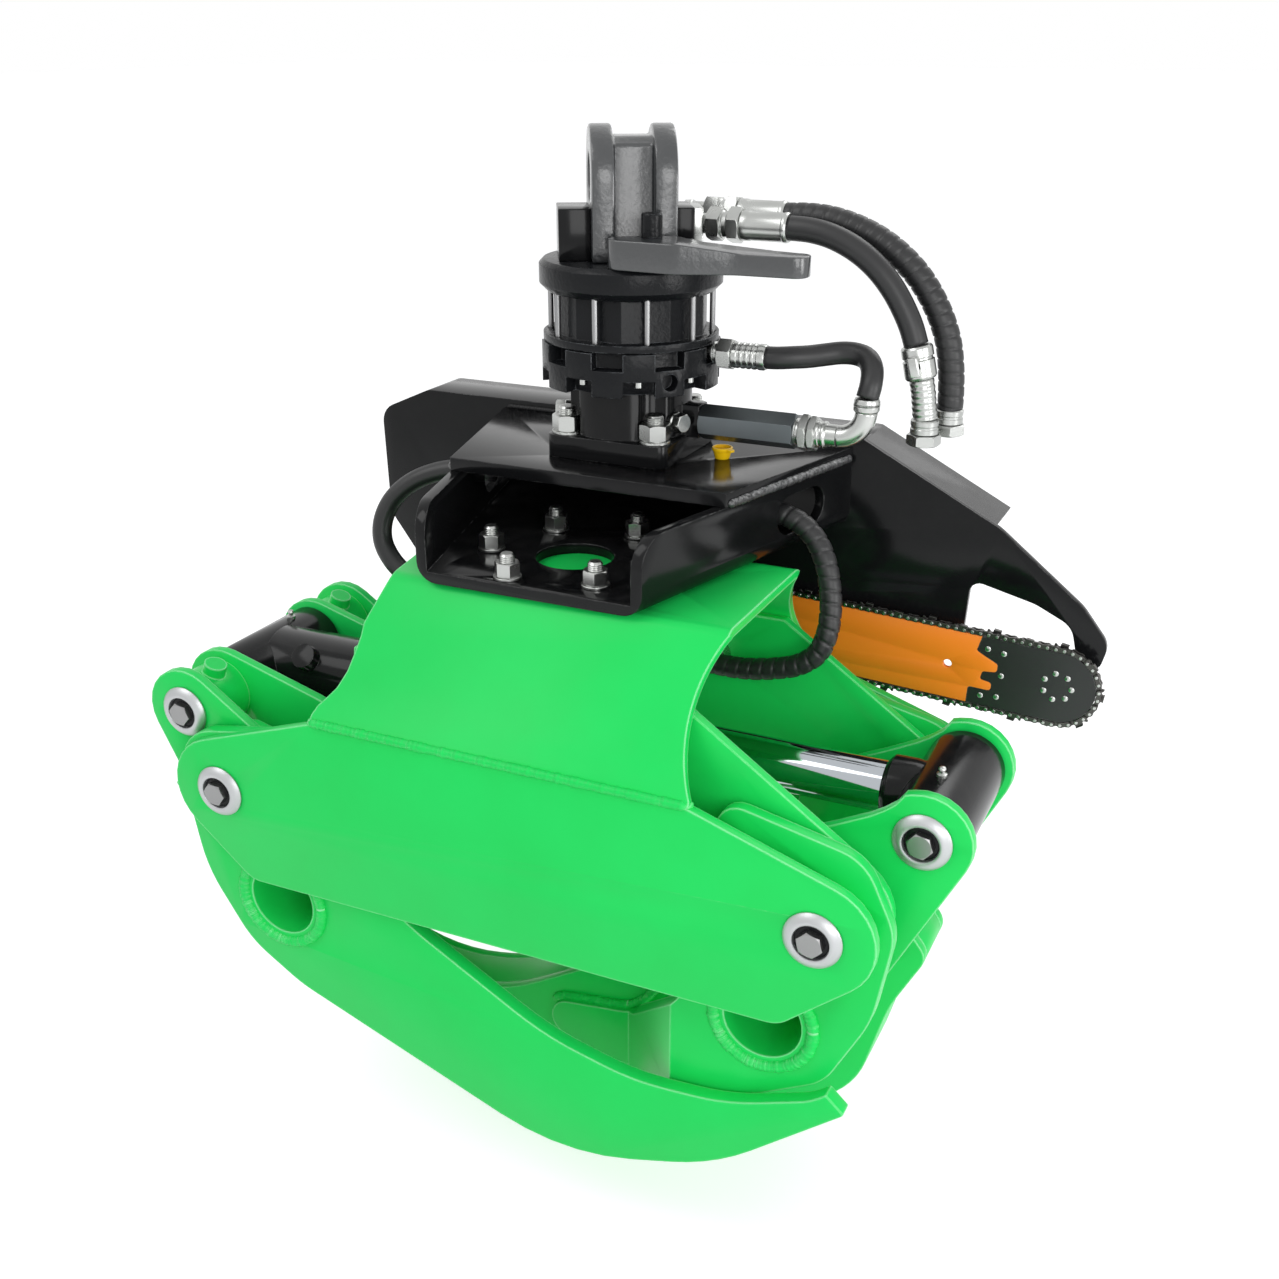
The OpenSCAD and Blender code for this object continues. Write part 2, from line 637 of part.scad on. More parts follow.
// Hood: one plate bent over the frame, its ends cut in a sweep
hood_rise = hood_top - plate_top;
hood_run = (frame_w - hood_flat) / 2;
hood_slope = atan2(hood_rise, hood_run);
module hood() {
    foot = hood_t / sin(hood_slope);
    in_y = half_w - foot - (hood_rise - hood_t) / tan(hood_slope);
    flat_y = hood_flat / 2;
    profile = rounded([[-half_w, plate_top, 0], [-flat_y, hood_top, 20], [flat_y, hood_top, 20],
        [half_w, plate_top, 0], [half_w - foot, plate_top, 0], [in_y, hood_top - hood_t, 10],
        [-in_y, hood_top - hood_t, 10], [foot - half_w, plate_top, 0]]);
    slope_l = norm([hood_rise, hood_run]);
    chord = slope_l / 2 - 6;
    sweep_r = (chord * chord + hood_waist * hood_waist) / (2 * hood_waist);
    color(GREEN) at_grapple() difference() {
        rotate([90, 0, 90]) translate([0, 0, -hood_half]) linear_extrude(2 * hood_half) polygon(profile);
        for (s = [-1, 1]) for (e = [-1, 1])
            translate([0, s * (half_w - hood_run / 2), plate_top + hood_rise / 2])
                rotate([-s * hood_slope, 0, 0]) translate([e * (hood_half - hood_waist + sweep_r), 0, -24])
                    cylinder(r = sweep_r, h = 48, $fn = 96);
        floor_holes(8 + fit);
    }
}

// Frame plates
outer_outline = lobes([[-hood_half + 6, plate_top - 6, 6], [hood_half - 6, plate_top - 6, 6],
    [pivot_x, 0, end_r], [pivot_x - 44, 34 - plate_drop, 34], [44 - pivot_x, 34 - plate_drop, 34],
    [-pivot_x, 0, end_r]]);
inner_top = plate_top + (bay_w - hood_t / sin(hood_slope)) * tan(hood_slope);
inner_half = hood_half - hood_waist - 4;
// The left end is notched where the ear bosses pass
notch_r = norm([ear_x, ear_z]) + hub_d / 2 + 4;
notch_dir = [cos(20), sin(20)];
neck_r = end_r - 4;
inner_outline = concat(
    [[-inner_half, inner_top], [inner_half, inner_top]],
    let (c = [pivot_x, 0, end_r - 2], p = [inner_half, inner_top, 0.01],
        q = [pivot_x - 40, 30 - inner_drop, 30])
        [for (k = [0:10]) let (a0 = belt_angle(p, c), a1 = belt_angle(c, q), a = a0 - (a0 - a1) * k / 10)
            flat(c) + c[2] * [cos(a), sin(a)]],
    [[pivot_x - 40, -inner_drop], [40 - pivot_x, -inner_drop]],
    [for (k = [0:10]) let (a = 240 - (240 - 20) * k / 10) [-pivot_x, 0] + neck_r * [cos(a), sin(a)]],
    [[-pivot_x, 0] + notch_r * notch_dir, [notch_r - pivot_x, notch_r * notch_dir[1] + 12]]);
module frame_plate(pts, s, d) {
    color(GREEN) at_grapple() difference() {
        plate(pts, plate_y(s, d, plate_t), plate_t);
        for (e = [-1, 1]) bar_along_y(e * pivot_x, 0, pin_d / 2 + fit, -frame_w, frame_w);
        if (d > 0 && s > 0) for (h = hose_ends) bar_along_y(h[0], h[1], bulkhead_r + fit, 0, frame_w);
    }
}
module front_outer_plate() { frame_plate(outer_outline, -1, 0); }
module rear_outer_plate() { frame_plate(outer_outline, 1, 0); }
module front_inner_plate() { frame_plate(inner_outline, -1, bay_w); }
module rear_inner_plate() { frame_plate(inner_outline, 1, bay_w); }

// Pins run from an outer plate's face to the inner plate's far face
pin_l = bay_w + plate_t;
bolt_r = 10;
module pivot_pins() {
    color(STEEL) at_grapple() for (s = [-1, 1]) for (e = [-1, 1]) {
        y = plate_y(s, 0, pin_l);
        difference() {
            bar_along_y(e * pivot_x, 0, pin_d / 2, y, y + pin_l);
            bar_along_y(e * pivot_x, 0, bolt_r + fit, y - 1, y + pin_l + 1);
        }
    }
}
// A washer and a hexagon head on each end of a pin that reaches from y0 to y1
// Dished cover washer with the bolt's head sunk in its recess
washer_rim = 2;
recess_d = washer_d - 23;
recess_t = 5;
module pin_end(x, z, y, s) {
    translate([x, y, z]) rotate([-90 * s, 0, 0]) {
        difference() {
            union() {
                cylinder(d = washer_d, h = washer_rim);
                translate([0, 0, washer_rim])
                    cylinder(d1 = washer_d, d2 = recess_d + 5, h = washer_t - washer_rim);
            }
            translate([0, 0, washer_t - recess_t]) cylinder(d = recess_d, h = recess_t + 1);
        }
        translate([0, 0, washer_t - recess_t]) hexagon(26, 10);
    }
}
module pivot_pin_bolts() {
    color(STEEL) at_grapple() for (s = [-1, 1]) for (e = [-1, 1]) {
        pin_end(e * pivot_x, 0, s * half_w, s);
        bar_along_y(e * pivot_x, 0, bolt_r, s < 0 ? -half_w : half_w - pin_l,
            s < 0 ? pin_l - half_w : half_w);
        translate([e * pivot_x, s * (half_w - pin_l), 0]) rotate([90 * s, 0, 0]) {
            cylinder(d = 50, h = 5);
            translate([0, 0, 5]) hexagon(30, 14);
        }
    }
}

// Cylinder hoses: out of the box's oval holes, round the hood's ends, to bulkheads on the rear inner plate
cylinder_hose_r = 12;
bulkhead_r = 9;
hose_ends = [[118, 126], [-140, 134]];
right_hose_route = [[170, 134, 301], [190, 134, 300], [211, 133, 292], [229, 130, 276], [242, 124, 255],
    [250, 118, 230], [254, 112, 205], [253, 106, 180], [244, 101, 157], [224, 97, 142], [198, 95, 134],
    [172, 94, 129], [146, 94, 127], [118, 98, 126]];
left_hose_route = [[-182, 146, 300], [-206, 142, 300], [-232, 135, 294], [-258, 126, 281], [-279, 116, 262],
    [-292, 106, 238], [-296, 99, 212], [-289, 95, 187], [-271, 93, 166], [-246, 92, 151], [-218, 92, 143],
    [-190, 92, 138], [-164, 94, 135], [-140, 98, 134]];
module cylinder_hoses() {
    color(HOSE) at_grapple() {
        hose(right_hose_route, cylinder_hose_r, [0, 1, 0], [1, 0, 0], [-1, 0, 0]);
        hose(left_hose_route, cylinder_hose_r, [0, 1, 0], [-1, 0, 0], [1, 0, 0]);
    }
}
module hose_bulkheads() {
    y = half_w - bay_w - plate_t;
    color(STEEL) at_grapple() for (h = hose_ends) {
        bar_along_y(h[0], h[1], bulkhead_r, y, y + plate_t + 8);
        bar_along_y(h[0], h[1], 15, 98 + cylinder_hose_r, y);
        translate([h[0], y + plate_t + 8, h[1]]) rotate([-90, 0, 0]) hexagon(24, 8);
    }
}

// Saw guard: a plate behind the bar with a finger round its tip and a lip folded back along the top
guard_bottom = 84;
guard_outline = rounded([[-408, 190, 40], [-412, 330, 26], [-340, 362, 20], [238, 362, 10], [401, 278, 60],
    [500, 200, 60], [532, 160, 24], [524, 128, 10], [500, 134, 8], [490, 176, 26], [448, 196, 60],
    [374, 214, 12], [368, 120, 10], [300, guard_bottom, 20], [-330, guard_bottom, 60]]);
lip_line = arc_line([[-410, 262, 0], [-412, 330, 26], [-340, 362, 20], [238, 362, 10], [396, 280.5, 0]]);
module saw_guard() {
    color(BLACK) at_grapple() {
        difference() {
            plate(guard_outline, guard_y, guard_t);
            bar_along_y(-saw_x, saw_z, motor_nose_r + fit, guard_y - 1, guard_y + guard_t + 1);
        }
        plate(band(lip_line, guard_t), guard_y + guard_t - 1, lip_w);
    }
}
// Saw motor: nose through the guard plate, finned rear cover, two ports
motor_r = 58;
motor_nose_r = 45;
module saw_motor() {
    y = guard_y + guard_t;
    color(CAST) at_grapple() difference() {
        union() {
            bar_along_y(-saw_x, saw_z, motor_nose_r, guard_y - 2, y);
            bar_along_y(-saw_x, saw_z, motor_r + 22, y, y + 14);
            bar_along_y(-saw_x, saw_z, motor_r, y + 14, y + 92);
            bar_along_y(-saw_x, saw_z, motor_r - 8, y + 92, y + 104);
            for (s = [-1, 1]) translate([s * 26 - saw_x, y + motor_r + 8, saw_z + motor_r - 12])
                cylinder(r = 16, h = 34);
        }
        bar_along_y(-saw_x, saw_z, motor_shaft_r + fit, guard_y - 3, y + 40);
    }
}
motor_shaft_r = 12;

// Jaws, drawn from their pivot
tube_at = [60, -136];
module jaw_holes(left, hub) {
    at = left ? [-pivot_x, 1] : [pivot_x, -1];
    if (hub) bar_along_y(at[0], 0, hub_d / 2 + fit, -frame_w, frame_w);
    bar_along_y(at[0] + at[1] * tube_at[0], tube_at[1], cross_d / 2 + fit, -frame_w, frame_w);
}
left_jaw_outline = rounded([[96, 84, 34], [-52, 58, 52], [-68, 4, 50], [-46, -120, 160], [8, -204, 110],
    [75, -246, 160], [238, -306, 400], [420, -372, 260], [600, -318, 260], [736, -206, 12], [750, -160, 6],
    [700, -200, 70], [610, -234, 240], [505, -240, 240], [400, -216, 300], [222, -118, 260], [138, -30, 90]]);
module left_jaw(s) {
    color(GREEN) at_grapple() difference() {
        plate(on_left(left_jaw_outline), plate_y(s, 14, left_jaw_t), left_jaw_t);
        jaw_holes(true, true);
    }
}
module left_jaw_front() { left_jaw(-1); }
module left_jaw_rear() { left_jaw(1); }

ear_at = [-ear_x, ear_z];
tube_lobe_r = 76;
ear_outline = lobes([[ear_at[0], ear_at[1], ear_r], [46, 26, 58], [tube_at[0], tube_at[1], tube_lobe_r]]);
outer_ear_outline = lobes([[ear_at[0], ear_at[1], ear_r], [10, 10, 52],
    [tube_at[0], tube_at[1], tube_lobe_r]]);
module left_ear_plates() {
    color(GREEN) at_grapple() for (s = [-1, 1]) {
        difference() {
            plate(on_left(outer_ear_outline), plate_y(s, ear_outset, ear_t), ear_t);
            jaw_holes(true, true);
            ear_bore(-1);
        }
        difference() {
            plate(on_left(ear_outline), plate_y(s, ear_inset, ear_t), ear_t);
            jaw_holes(true, false);
            ear_bore(-1);
        }
    }
}
module ear_bore(e) { bar_along_y(e * (pivot_x + ear_x), ear_z, pin_d / 2 + fit, -frame_w, frame_w); }
// Bosses between the left jaw's ear plates, each with its round grease boss on top
module left_ear_bosses() {
    x = -pivot_x - ear_x;
    l = ear_inset - ear_outset - ear_t;
    color(GREEN) at_grapple() for (s = [-1, 1]) difference() {
        y = plate_y(s, ear_outset + ear_t, l);
        union() {
            bar_along_y(x, ear_z, hub_d / 2, y, y + l);
            translate([x, y + l / 2, ear_z]) rotate([0, 20, 0]) cylinder(d = 26, h = hub_d / 2 + 12);
        }
        bar_along_y(x, ear_z, pin_d / 2 + fit, y - 1, y + l + 1);
    }
}
hub_play = 1;
module pivot_hubs(e) {
    l = bay_w - plate_t - 2 * hub_play;
    for (s = [-1, 1]) {
        y = plate_y(s, plate_t + hub_play, l);
        tube_along_y(e * pivot_x, 0, hub_d / 2, bush_d / 2, y, y + l);
        tube_along_y(e * pivot_x, 0, bush_d / 2 - 0.01, pin_d / 2 + fit, y + 0.2, y + l - 0.2);
    }
}
module left_pivot_hubs() { color(GREEN) at_grapple() pivot_hubs(-1); }
module right_pivot_hubs() { color(GREEN) at_grapple() pivot_hubs(1); }
module cross_tube(e, d) {
    tube_along_y(e * (pivot_x - tube_at[0]), tube_at[1], cross_d / 2, cross_d / 2 - cross_wall,
        d - half_w, half_w - d);
}
module left_cross_tube() { color(GREEN) at_grapple() cross_tube(-1, 14); }
module right_cross_tube() { color(GREEN) at_grapple() cross_tube(1, right_inset); }
// Flat web along the left jaw's back, welded to all four ear plates
module left_spine() {
    turn = belt_angle([tube_at[0], tube_at[1], tube_lobe_r], [ear_at[0], ear_at[1], ear_r]);
    out = [cos(turn), sin(turn)];
    along = [out[1], -out[0]];
    foot = tube_at + tube_lobe_r * out;
    l = 2 * (half_w - 14 - left_jaw_t);
    color(GREEN) at_grapple()
        plate(on_left([foot + 14 * along, foot + 168 * along, foot + 168 * along + 12 * out,
            foot + 14 * along + 12 * out]),
            -l / 2, l);
}
module ear_pin(e, d) {
    x = e * (pivot_x + ear_x);
    y = half_w - d;
    bar_along_y(x, ear_z, pin_d / 2, -y, y);
    for (s = [-1, 1]) pin_end(x, ear_z, s * y, s);
}
module left_ear_pin() { color(STEEL) at_grapple() ear_pin(-1, ear_outset); }
module right_ear_pin() { color(STEEL) at_grapple() ear_pin(1, ear_inset); }

// Right jaw plates: flat at the pivot, bent in to the tine's side, with a blunt nose
bend_x = [162, 262];
right_jaw_outline = rounded([[112, 106, 24], [-36, 74, 50], [-70, 0, 60], [-52, -104, 140], [-8, -190, 60],
    [70, -232, 140], [172, -254, 60], [256, -338, 20], [330, -332, 50], [372, -302, 24], [354, -274, 22],
    [258, -262, 40], [154, -138, 60], [134, -100, 40]]);
nose_face = half_w - tine_w / 2 - right_jaw_t;
module right_jaw(s) {
    y0 = half_w - right_inset;
    y1 = half_w - nose_face;
    t = right_jaw_t;
    miter = t * tan(atan2(y0 - y1, bend_x[1] - bend_x[0]) / 2);
    bent = [[pivot_x + 150, y0], [pivot_x - bend_x[0], y0], [pivot_x - bend_x[1], y1], [-90, y1],
        [-90, y1 - t], [pivot_x - bend_x[1] + miter, y1 - t], [pivot_x - bend_x[0] + miter, y0 - t],
        [pivot_x + 150, y0 - t]];
    color(GREEN) at_grapple() difference() {
        intersection() {
            plate(on_right(right_jaw_outline), s < 0 ? -half_w : 0, half_w);
            translate([0, 0, -400]) linear_extrude(600) polygon([for (p = bent) [p[0], s * p[1]]]);
        }
        jaw_holes(false, true);
    }
}
module right_jaw_front() { right_jaw(-1); }
module right_jaw_rear() { right_jaw(1); }

tine_outline = rounded([[-30, -60, 30], [-62, -100, 20], [-26, -170, 200], [4, -280, 110], [90, -358, 140],
    [250, -400, 300], [410, -404, 400], [590, -356, 300], [716, -262, 12], [706, -236, 6], [640, -282, 90],
    [540, -312, 220], [430, -290, 260], [320, -226, 300], [214, -150, 120], [140, -60, 50]]);
module right_tine_sides() {
    color(GREEN) at_grapple() for (s = [-1, 1]) difference() {
        plate(on_right(tine_outline), s < 0 ? -tine_w / 2 : tine_w / 2 - tine_t, tine_t);
        jaw_holes(false, false);
    }
}
// The plates that close the tine between its sides: one bent along the back, one along the face, one on top
tine_back = arc_line([[-30, -62, 0], [-62, -100, 20], [-26, -170, 200], [4, -280, 110], [90, -358, 140],
    [250, -400, 300], [410, -404, 400], [590, -356, 300], [714, -264, 0]]);
tine_face = arc_line([[690, -247, 0], [640, -282, 90], [540, -312, 220], [430, -290, 260], [320, -226, 300],
    [214, -150, 120], [144, -66, 0]]);
module right_tine_spine() {
    l = tine_w - 2 * tine_t;
    color(GREEN) at_grapple() {
        plate(on_right(band(tine_back, -tine_t)), -l / 2, l);
        plate(on_right(band(tine_face, -tine_t)), -l / 2, l);
        plate(on_right([[-22, -62], [138, -62], [138, -74], [-22, -74]]), -l / 2, l);
    }
}
module right_ear_plates() {
    color(GREEN) at_grapple() for (s = [-1, 1]) difference() {
        plate(on_right(ear_outline), plate_y(s, ear_inset, ear_t), ear_t);
        jaw_holes(false, false);
        ear_bore(1);
    }
}

// Jaw cylinder, at rest nearly full out
left_pin_x = -pivot_x - ear_x;
right_pin_x = pivot_x + ear_x;
eye_l = 2 * (half_w - ear_inset - ear_t) - 6;
barrel_end = left_pin_x + barrel_reach;
piston_x = right_pin_x - rod_reach;
piston_l = 46;
// The gland's sleeve reaches in to where the piston stops, just short of it with the jaws closed
stop_gap = 3;
gland_foot = piston_x + piston_l + stop_gap;
eye_bush_r = pin_d / 2 + fit;
module cylinder_barrel() {
    base = left_pin_x + 58;
    color(BLACK) at_grapple() difference() {
        union() {
            bar_along_y(left_pin_x, ear_z, eye_d / 2, -eye_l / 2, eye_l / 2);
            bar_along_x(0, ear_z, barrel_d / 2, left_pin_x + 18, barrel_end - 8);
            bar_along_x(0, ear_z, barrel_d / 2 + 3, barrel_end - 46, barrel_end - 8);
            translate([base + 24, 0, ear_z]) rotate([50, 0, 0]) cylinder(r = 15, h = barrel_d / 2 + 14);
        }
        bar_along_y(left_pin_x, ear_z, eye_bush_r, -eye_l, eye_l);
        bar_along_x(0, ear_z, bore_d / 2, base, barrel_end + 1);
    }
}
module cylinder_gland() {
    color(BLACK) at_grapple() difference() {
        union() {
            bar_along_x(0, ear_z, bore_d / 2 - 0.05, gland_foot, barrel_end - 8);
            bar_along_x(0, ear_z, barrel_d / 2 + 1, barrel_end - 8, barrel_end + 6);
        }
        bar_along_x(0, ear_z, rod_d / 2 + fit, gland_foot - 1, barrel_end + 7);
    }
}
module cylinder_rod() {
    color(STEEL) at_grapple() difference() {
        union() {
            bar_along_x(0, ear_z, rod_d / 2, piston_x + piston_l, right_pin_x - 30);
            bar_along_x(0, ear_z, rod_d / 2 + 8, right_pin_x - 62, right_pin_x - 30);
            bar_along_y(right_pin_x, ear_z, eye_d / 2, -eye_l / 2, eye_l / 2);
            bar_along_x(0, ear_z, 18, piston_x, piston_x + piston_l);
        }
        bar_along_y(right_pin_x, ear_z, eye_bush_r, -eye_l, eye_l);
    }
}
module cylinder_piston() {
    color(STEEL) at_grapple() difference() {
        bar_along_x(0, ear_z, bore_d / 2 - fit, piston_x, piston_x + piston_l);
        bar_along_x(0, ear_z, 18 + 0.01, piston_x - 1, piston_x + piston_l + 1);
        for (x = [10, 30]) translate([piston_x + x, 0, ear_z]) rotate([0, 90, 0]) difference() {
            cylinder(r = bore_d / 2 + 1, h = 5);
            cylinder(r = bore_d / 2 - 3, h = 5);
        }
    }
}

// Saw bar: body with two prongs and a nose that fills in round them, chain all round
module at_bar() { translate([-saw_x, bar_y, saw_z]) rotate([0, bar_slope, 0]) children(); }
nose_start = 655;
tail_x = 36;
shoulder_x = 84;
half_bar = bar_w / 2;
prong_l = 22;
clamp_x = 70;
clamp_z = 15;
sprocket_r = 26;
module bar_plate(pts, t) { translate([0, t / 2, 0]) rotate([90, 0, 0]) linear_extrude(t) polygon(pts); }
// The joint between body and nose, from its top to its bottom
prongs = arc_line([[nose_start, half_bar, 0], [nose_start - 4, 24, 3], [nose_start + 4, 20, 3],
    [nose_start + prong_l, 12, 4], [nose_start + prong_l, 2, 4], [nose_start + 6, 0, 3],
    [nose_start + 4, -10, 3], [nose_start + prong_l - 4, -12, 4], [nose_start + prong_l - 4, -22, 4],
    [nose_start - 8, -22, 3], [nose_start - 8, -half_bar, 0]]);
module bar_body() {
    color("darkorange") at_grapple() at_bar() difference() {
        bar_plate(concat([[shoulder_x, -half_bar], [tail_x, -20], [tail_x, 20], [shoulder_x, half_bar]],
            prongs), bar_t);
        bar_along_y(620, 0, 5, -bar_t, bar_t);
        for (s = [-1, 1]) bar_along_y(clamp_x, s * clamp_z, 6 + fit, -bar_t, bar_t);
    }
}
module bar_nose() {
    color(BLACK) at_grapple() at_bar()
        bar_plate(concat(prongs, [for (a = [-90:10:90])
            [bar_reach + half_bar * cos(a), half_bar * sin(a)]]), bar_t);
}
function chain_line(grow) = lobes([[0, 0, sprocket_r + 1 + grow], [shoulder_x, half_bar - 20, 20 + grow],
    [bar_reach, 0, half_bar + grow], [shoulder_x, 20 - half_bar, 20 + grow]], 14);
module saw_chain() {
    color(STEEL) at_grapple() at_bar() {
        difference() {
            bar_plate(chain_line(0.4 + chain_h), chain_w);
            bar_plate(chain_line(0.4), chain_w + 2);
        }
        for (i = [0:cutter_count - 1]) chain_cutter(i, 2 * (bar_reach - shoulder_x) / cutter_count);
    }
}
// Cutters on both straight runs, every second one on the other side of the chain
module chain_cutter(i, pitch) {
    run = i % 2 == 0 ? 1 : -1;
    x = shoulder_x + 6 + pitch * floor(i / 2) + (run < 0 ? pitch / 3 : 0);
    side = floor(i / 2) % 2;
    z = run > 0 ? half_bar + 0.4 + chain_h : -half_bar - 0.4 - chain_h - 4;
    translate([x, side * chain_w / 2 - chain_w / 2, z]) cube([14, chain_w / 2, 4]);
}
// Swing arm behind the bar, clamp plate in front of it, two bolts through all
arm_back = guard_y - 2.4 - bar_y;
arm_front = chain_w / 2 + 0.6;
clamp_t = 7;
clamp_outline = rounded([[48, -24, 10], [48, 24, 10], [96, 28, 10], [96, -28, 10]]);
module bar_clamp() {
    color(STEEL) at_grapple() at_bar() {
        difference() {
            union() {
                plate(lobes([[0, 0, 34], [clamp_x, 12, 18], [clamp_x, -12, 18]]), arm_front,
                    arm_back - arm_front);
                plate(clamp_outline, bar_t / 2, arm_front - bar_t / 2);
                plate(clamp_outline, -bar_t / 2 - clamp_t, clamp_t);
            }
            for (s = [-1, 1]) bar_along_y(clamp_x, s * clamp_z, 6 + fit, -20, 20);
            bar_along_y(0, 0, motor_shaft_r + fit, -20, 20);
        }
        for (s = [-1, 1]) {
            bar_along_y(clamp_x, s * clamp_z, 6, -bar_t / 2 - clamp_t, arm_back);
            translate([clamp_x, -bar_t / 2 - clamp_t, s * clamp_z]) rotate([90, 0, 0]) hexagon(19, 7);
        }
    }
}
sprocket_teeth = 10;
module drive_sprocket() {
    color(STEEL) at_grapple() translate([-saw_x, 0, saw_z]) {
        translate([0, bar_y + 5, 0]) rotate([90, 0, 0]) linear_extrude(10)
            polygon([for (k = [0:4 * sprocket_teeth - 1])
                let (a = 90 * k / sprocket_teeth, r = k % 4 < 2 ? sprocket_r : sprocket_r - 4)
                    r * [cos(a), sin(a)]]);
        bar_along_y(0, 0, motor_shaft_r, bar_y + 5, guard_y + guard_t + 36);
    }
}

hanger_lug();
rotator_flange();
rotator_drum();
tie_bolts();
port_blocks();
hose_guard_arm();
guard_arm_bolt();
supply_fittings();
supply_hose_front();
hose_coupling();
supply_hose_tail();
supply_hose_rear();
hose_end_fittings();
rotor_ring();
rotor_shaft();
rotor_pedestal();
pedestal_bolts();
pedestal_plugs();
jumper_fittings();
jumper_hose();
saw_box_shell();
box_top_plate();
floor_bolts();
breather_cap();
hood();
front_outer_plate();
rear_outer_plate();
front_inner_plate();
rear_inner_plate();
pivot_pins();
pivot_pin_bolts();
cylinder_hoses();
hose_bulkheads();
saw_guard();
saw_motor();
left_jaw_front();
left_jaw_rear();
left_ear_plates();
left_ear_bosses();
left_pivot_hubs();
left_cross_tube();
left_spine();
left_ear_pin();
right_jaw_front();
right_jaw_rear();
right_tine_sides();
right_tine_spine();
right_ear_plates();
right_pivot_hubs();
right_cross_tube();
right_ear_pin();
cylinder_barrel();
cylinder_gland();
cylinder_rod();
cylinder_piston();
bar_body();
bar_nose();
saw_chain();
bar_clamp();
drive_sprocket();
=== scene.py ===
# Grapple saw: the looks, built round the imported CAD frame
import json
import math
import random
from bisect import bisect_right
from contextlib import contextmanager

import bpy
from mathutils import Matrix, Vector, geometry


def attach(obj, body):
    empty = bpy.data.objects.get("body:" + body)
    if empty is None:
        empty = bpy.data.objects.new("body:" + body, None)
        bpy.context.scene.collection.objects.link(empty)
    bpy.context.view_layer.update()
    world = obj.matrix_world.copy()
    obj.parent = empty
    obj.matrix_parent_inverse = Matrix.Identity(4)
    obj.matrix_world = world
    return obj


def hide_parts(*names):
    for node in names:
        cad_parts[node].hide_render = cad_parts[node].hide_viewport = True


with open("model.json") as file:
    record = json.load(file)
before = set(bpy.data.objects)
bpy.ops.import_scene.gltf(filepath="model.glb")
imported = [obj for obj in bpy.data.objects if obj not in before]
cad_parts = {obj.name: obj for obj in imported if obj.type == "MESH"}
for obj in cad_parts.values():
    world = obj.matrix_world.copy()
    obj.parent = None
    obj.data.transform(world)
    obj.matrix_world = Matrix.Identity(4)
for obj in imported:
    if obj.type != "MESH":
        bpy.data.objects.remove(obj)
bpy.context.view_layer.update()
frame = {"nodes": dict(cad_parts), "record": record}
cadNodes = frame["nodes"]
random.seed(7)
print("frame loaded:", len(cadNodes), "nodes")

# Heights and offsets shared with the part's source, in millimetres
place = {"hangHeight": 647, "rotorOffset": 143, "pivotX": 350, "halfWidth": 200, "pinLift": 68, "boxTop": 352,
         "flangeTop": 377, "drumFoot": 478}


def grapplePoint(x, y, z):
    return Vector((x, y - place["rotorOffset"], z - place["hangHeight"])) / 1000


def rotorPoint(x, y, z):
    return Vector((x, y, z - place["hangHeight"])) / 1000


# Camera, at the height and side the photograph was taken from
cameraSpec = {"position": (0.708, -1.497, 0.155), "down": 22.5, "round": 25.0, "lens": 42.22}
cameraData = bpy.data.cameras.new("camera")
cameraData.lens = cameraSpec["lens"]
cameraData.sensor_width = 36
cameraData.clip_start = 0.02
camera = bpy.data.objects.new("camera", cameraData)
bpy.context.scene.collection.objects.link(camera)
camera.location = cameraSpec["position"]
camera.rotation_euler = (math.radians(90 - cameraSpec["down"]), 0, math.radians(cameraSpec["round"]))
bpy.context.scene.camera = camera


# Modelling helpers

def deselect():
    bpy.ops.object.select_all(action="DESELECT")


def activate(piece):
    deselect()
    piece.select_set(True)
    bpy.context.view_layer.objects.active = piece


# The lines of a with block run in edit mode, with the whole mesh selected
@contextmanager
def editing(piece):
    activate(piece)
    bpy.ops.object.mode_set(mode="EDIT")
    bpy.ops.mesh.select_all(action="SELECT")
    yield
    bpy.ops.object.mode_set(mode="OBJECT")


def newObject(name, mesh):
    piece = bpy.data.objects.new(name, mesh)
    bpy.context.scene.collection.objects.link(piece)
    return piece


def newMesh(name, points, edges=(), faces=()):
    mesh = bpy.data.meshes.new(name)
    mesh.from_pydata([tuple(p) for p in points], list(edges), list(faces))
    return newObject(name, mesh)


def applyModifier(piece, kind, **settings):
    activate(piece)
    modifier = piece.modifiers.new("shaping", kind)
    for key, value in settings.items():
        setattr(modifier, key, value)
    bpy.ops.object.modifier_apply(modifier=modifier.name)


def bevel(piece, width, segments, angle=30):
    applyModifier(piece, "BEVEL", width=width / 1000, segments=segments, limit_method="ANGLE",
                  angle_limit=math.radians(angle))


def cut(piece, cutter, operation="DIFFERENCE"):
    applyModifier(piece, "BOOLEAN", operation=operation, object=cutter, solver="EXACT")
    removed(cutter)


def smooth(piece, angle):
    activate(piece)
    bpy.ops.object.shade_smooth_by_angle(angle=math.radians(angle))
    return piece


def joined(name, pieces):
    deselect()
    for p in pieces:
        p.select_set(True)
    bpy.context.view_layer.objects.active = pieces[0]
    if len(pieces) > 1:
        bpy.ops.object.join()
    piece = bpy.context.view_layer.objects.active
    piece.name = name
    piece.data.name = name
    return piece


def placed(piece, matrix):
    piece.data.transform(matrix)
    return piece


def copied(piece, name, matrix):
    return placed(newObject(name, piece.data.copy()), matrix)


def removed(*pieces):
    for piece in pieces:
        bpy.data.objects.remove(piece)


def aimed(origin, direction, roll=0):
    turn = Vector(direction).to_track_quat("Z", "Y").to_matrix().to_4x4()
    return Matrix.Translation(Vector(origin)) @ turn @ Matrix.Rotation(math.radians(roll), 4, "Z")


def raised(height):
    return Matrix.Translation((0, 0, height / 1000))


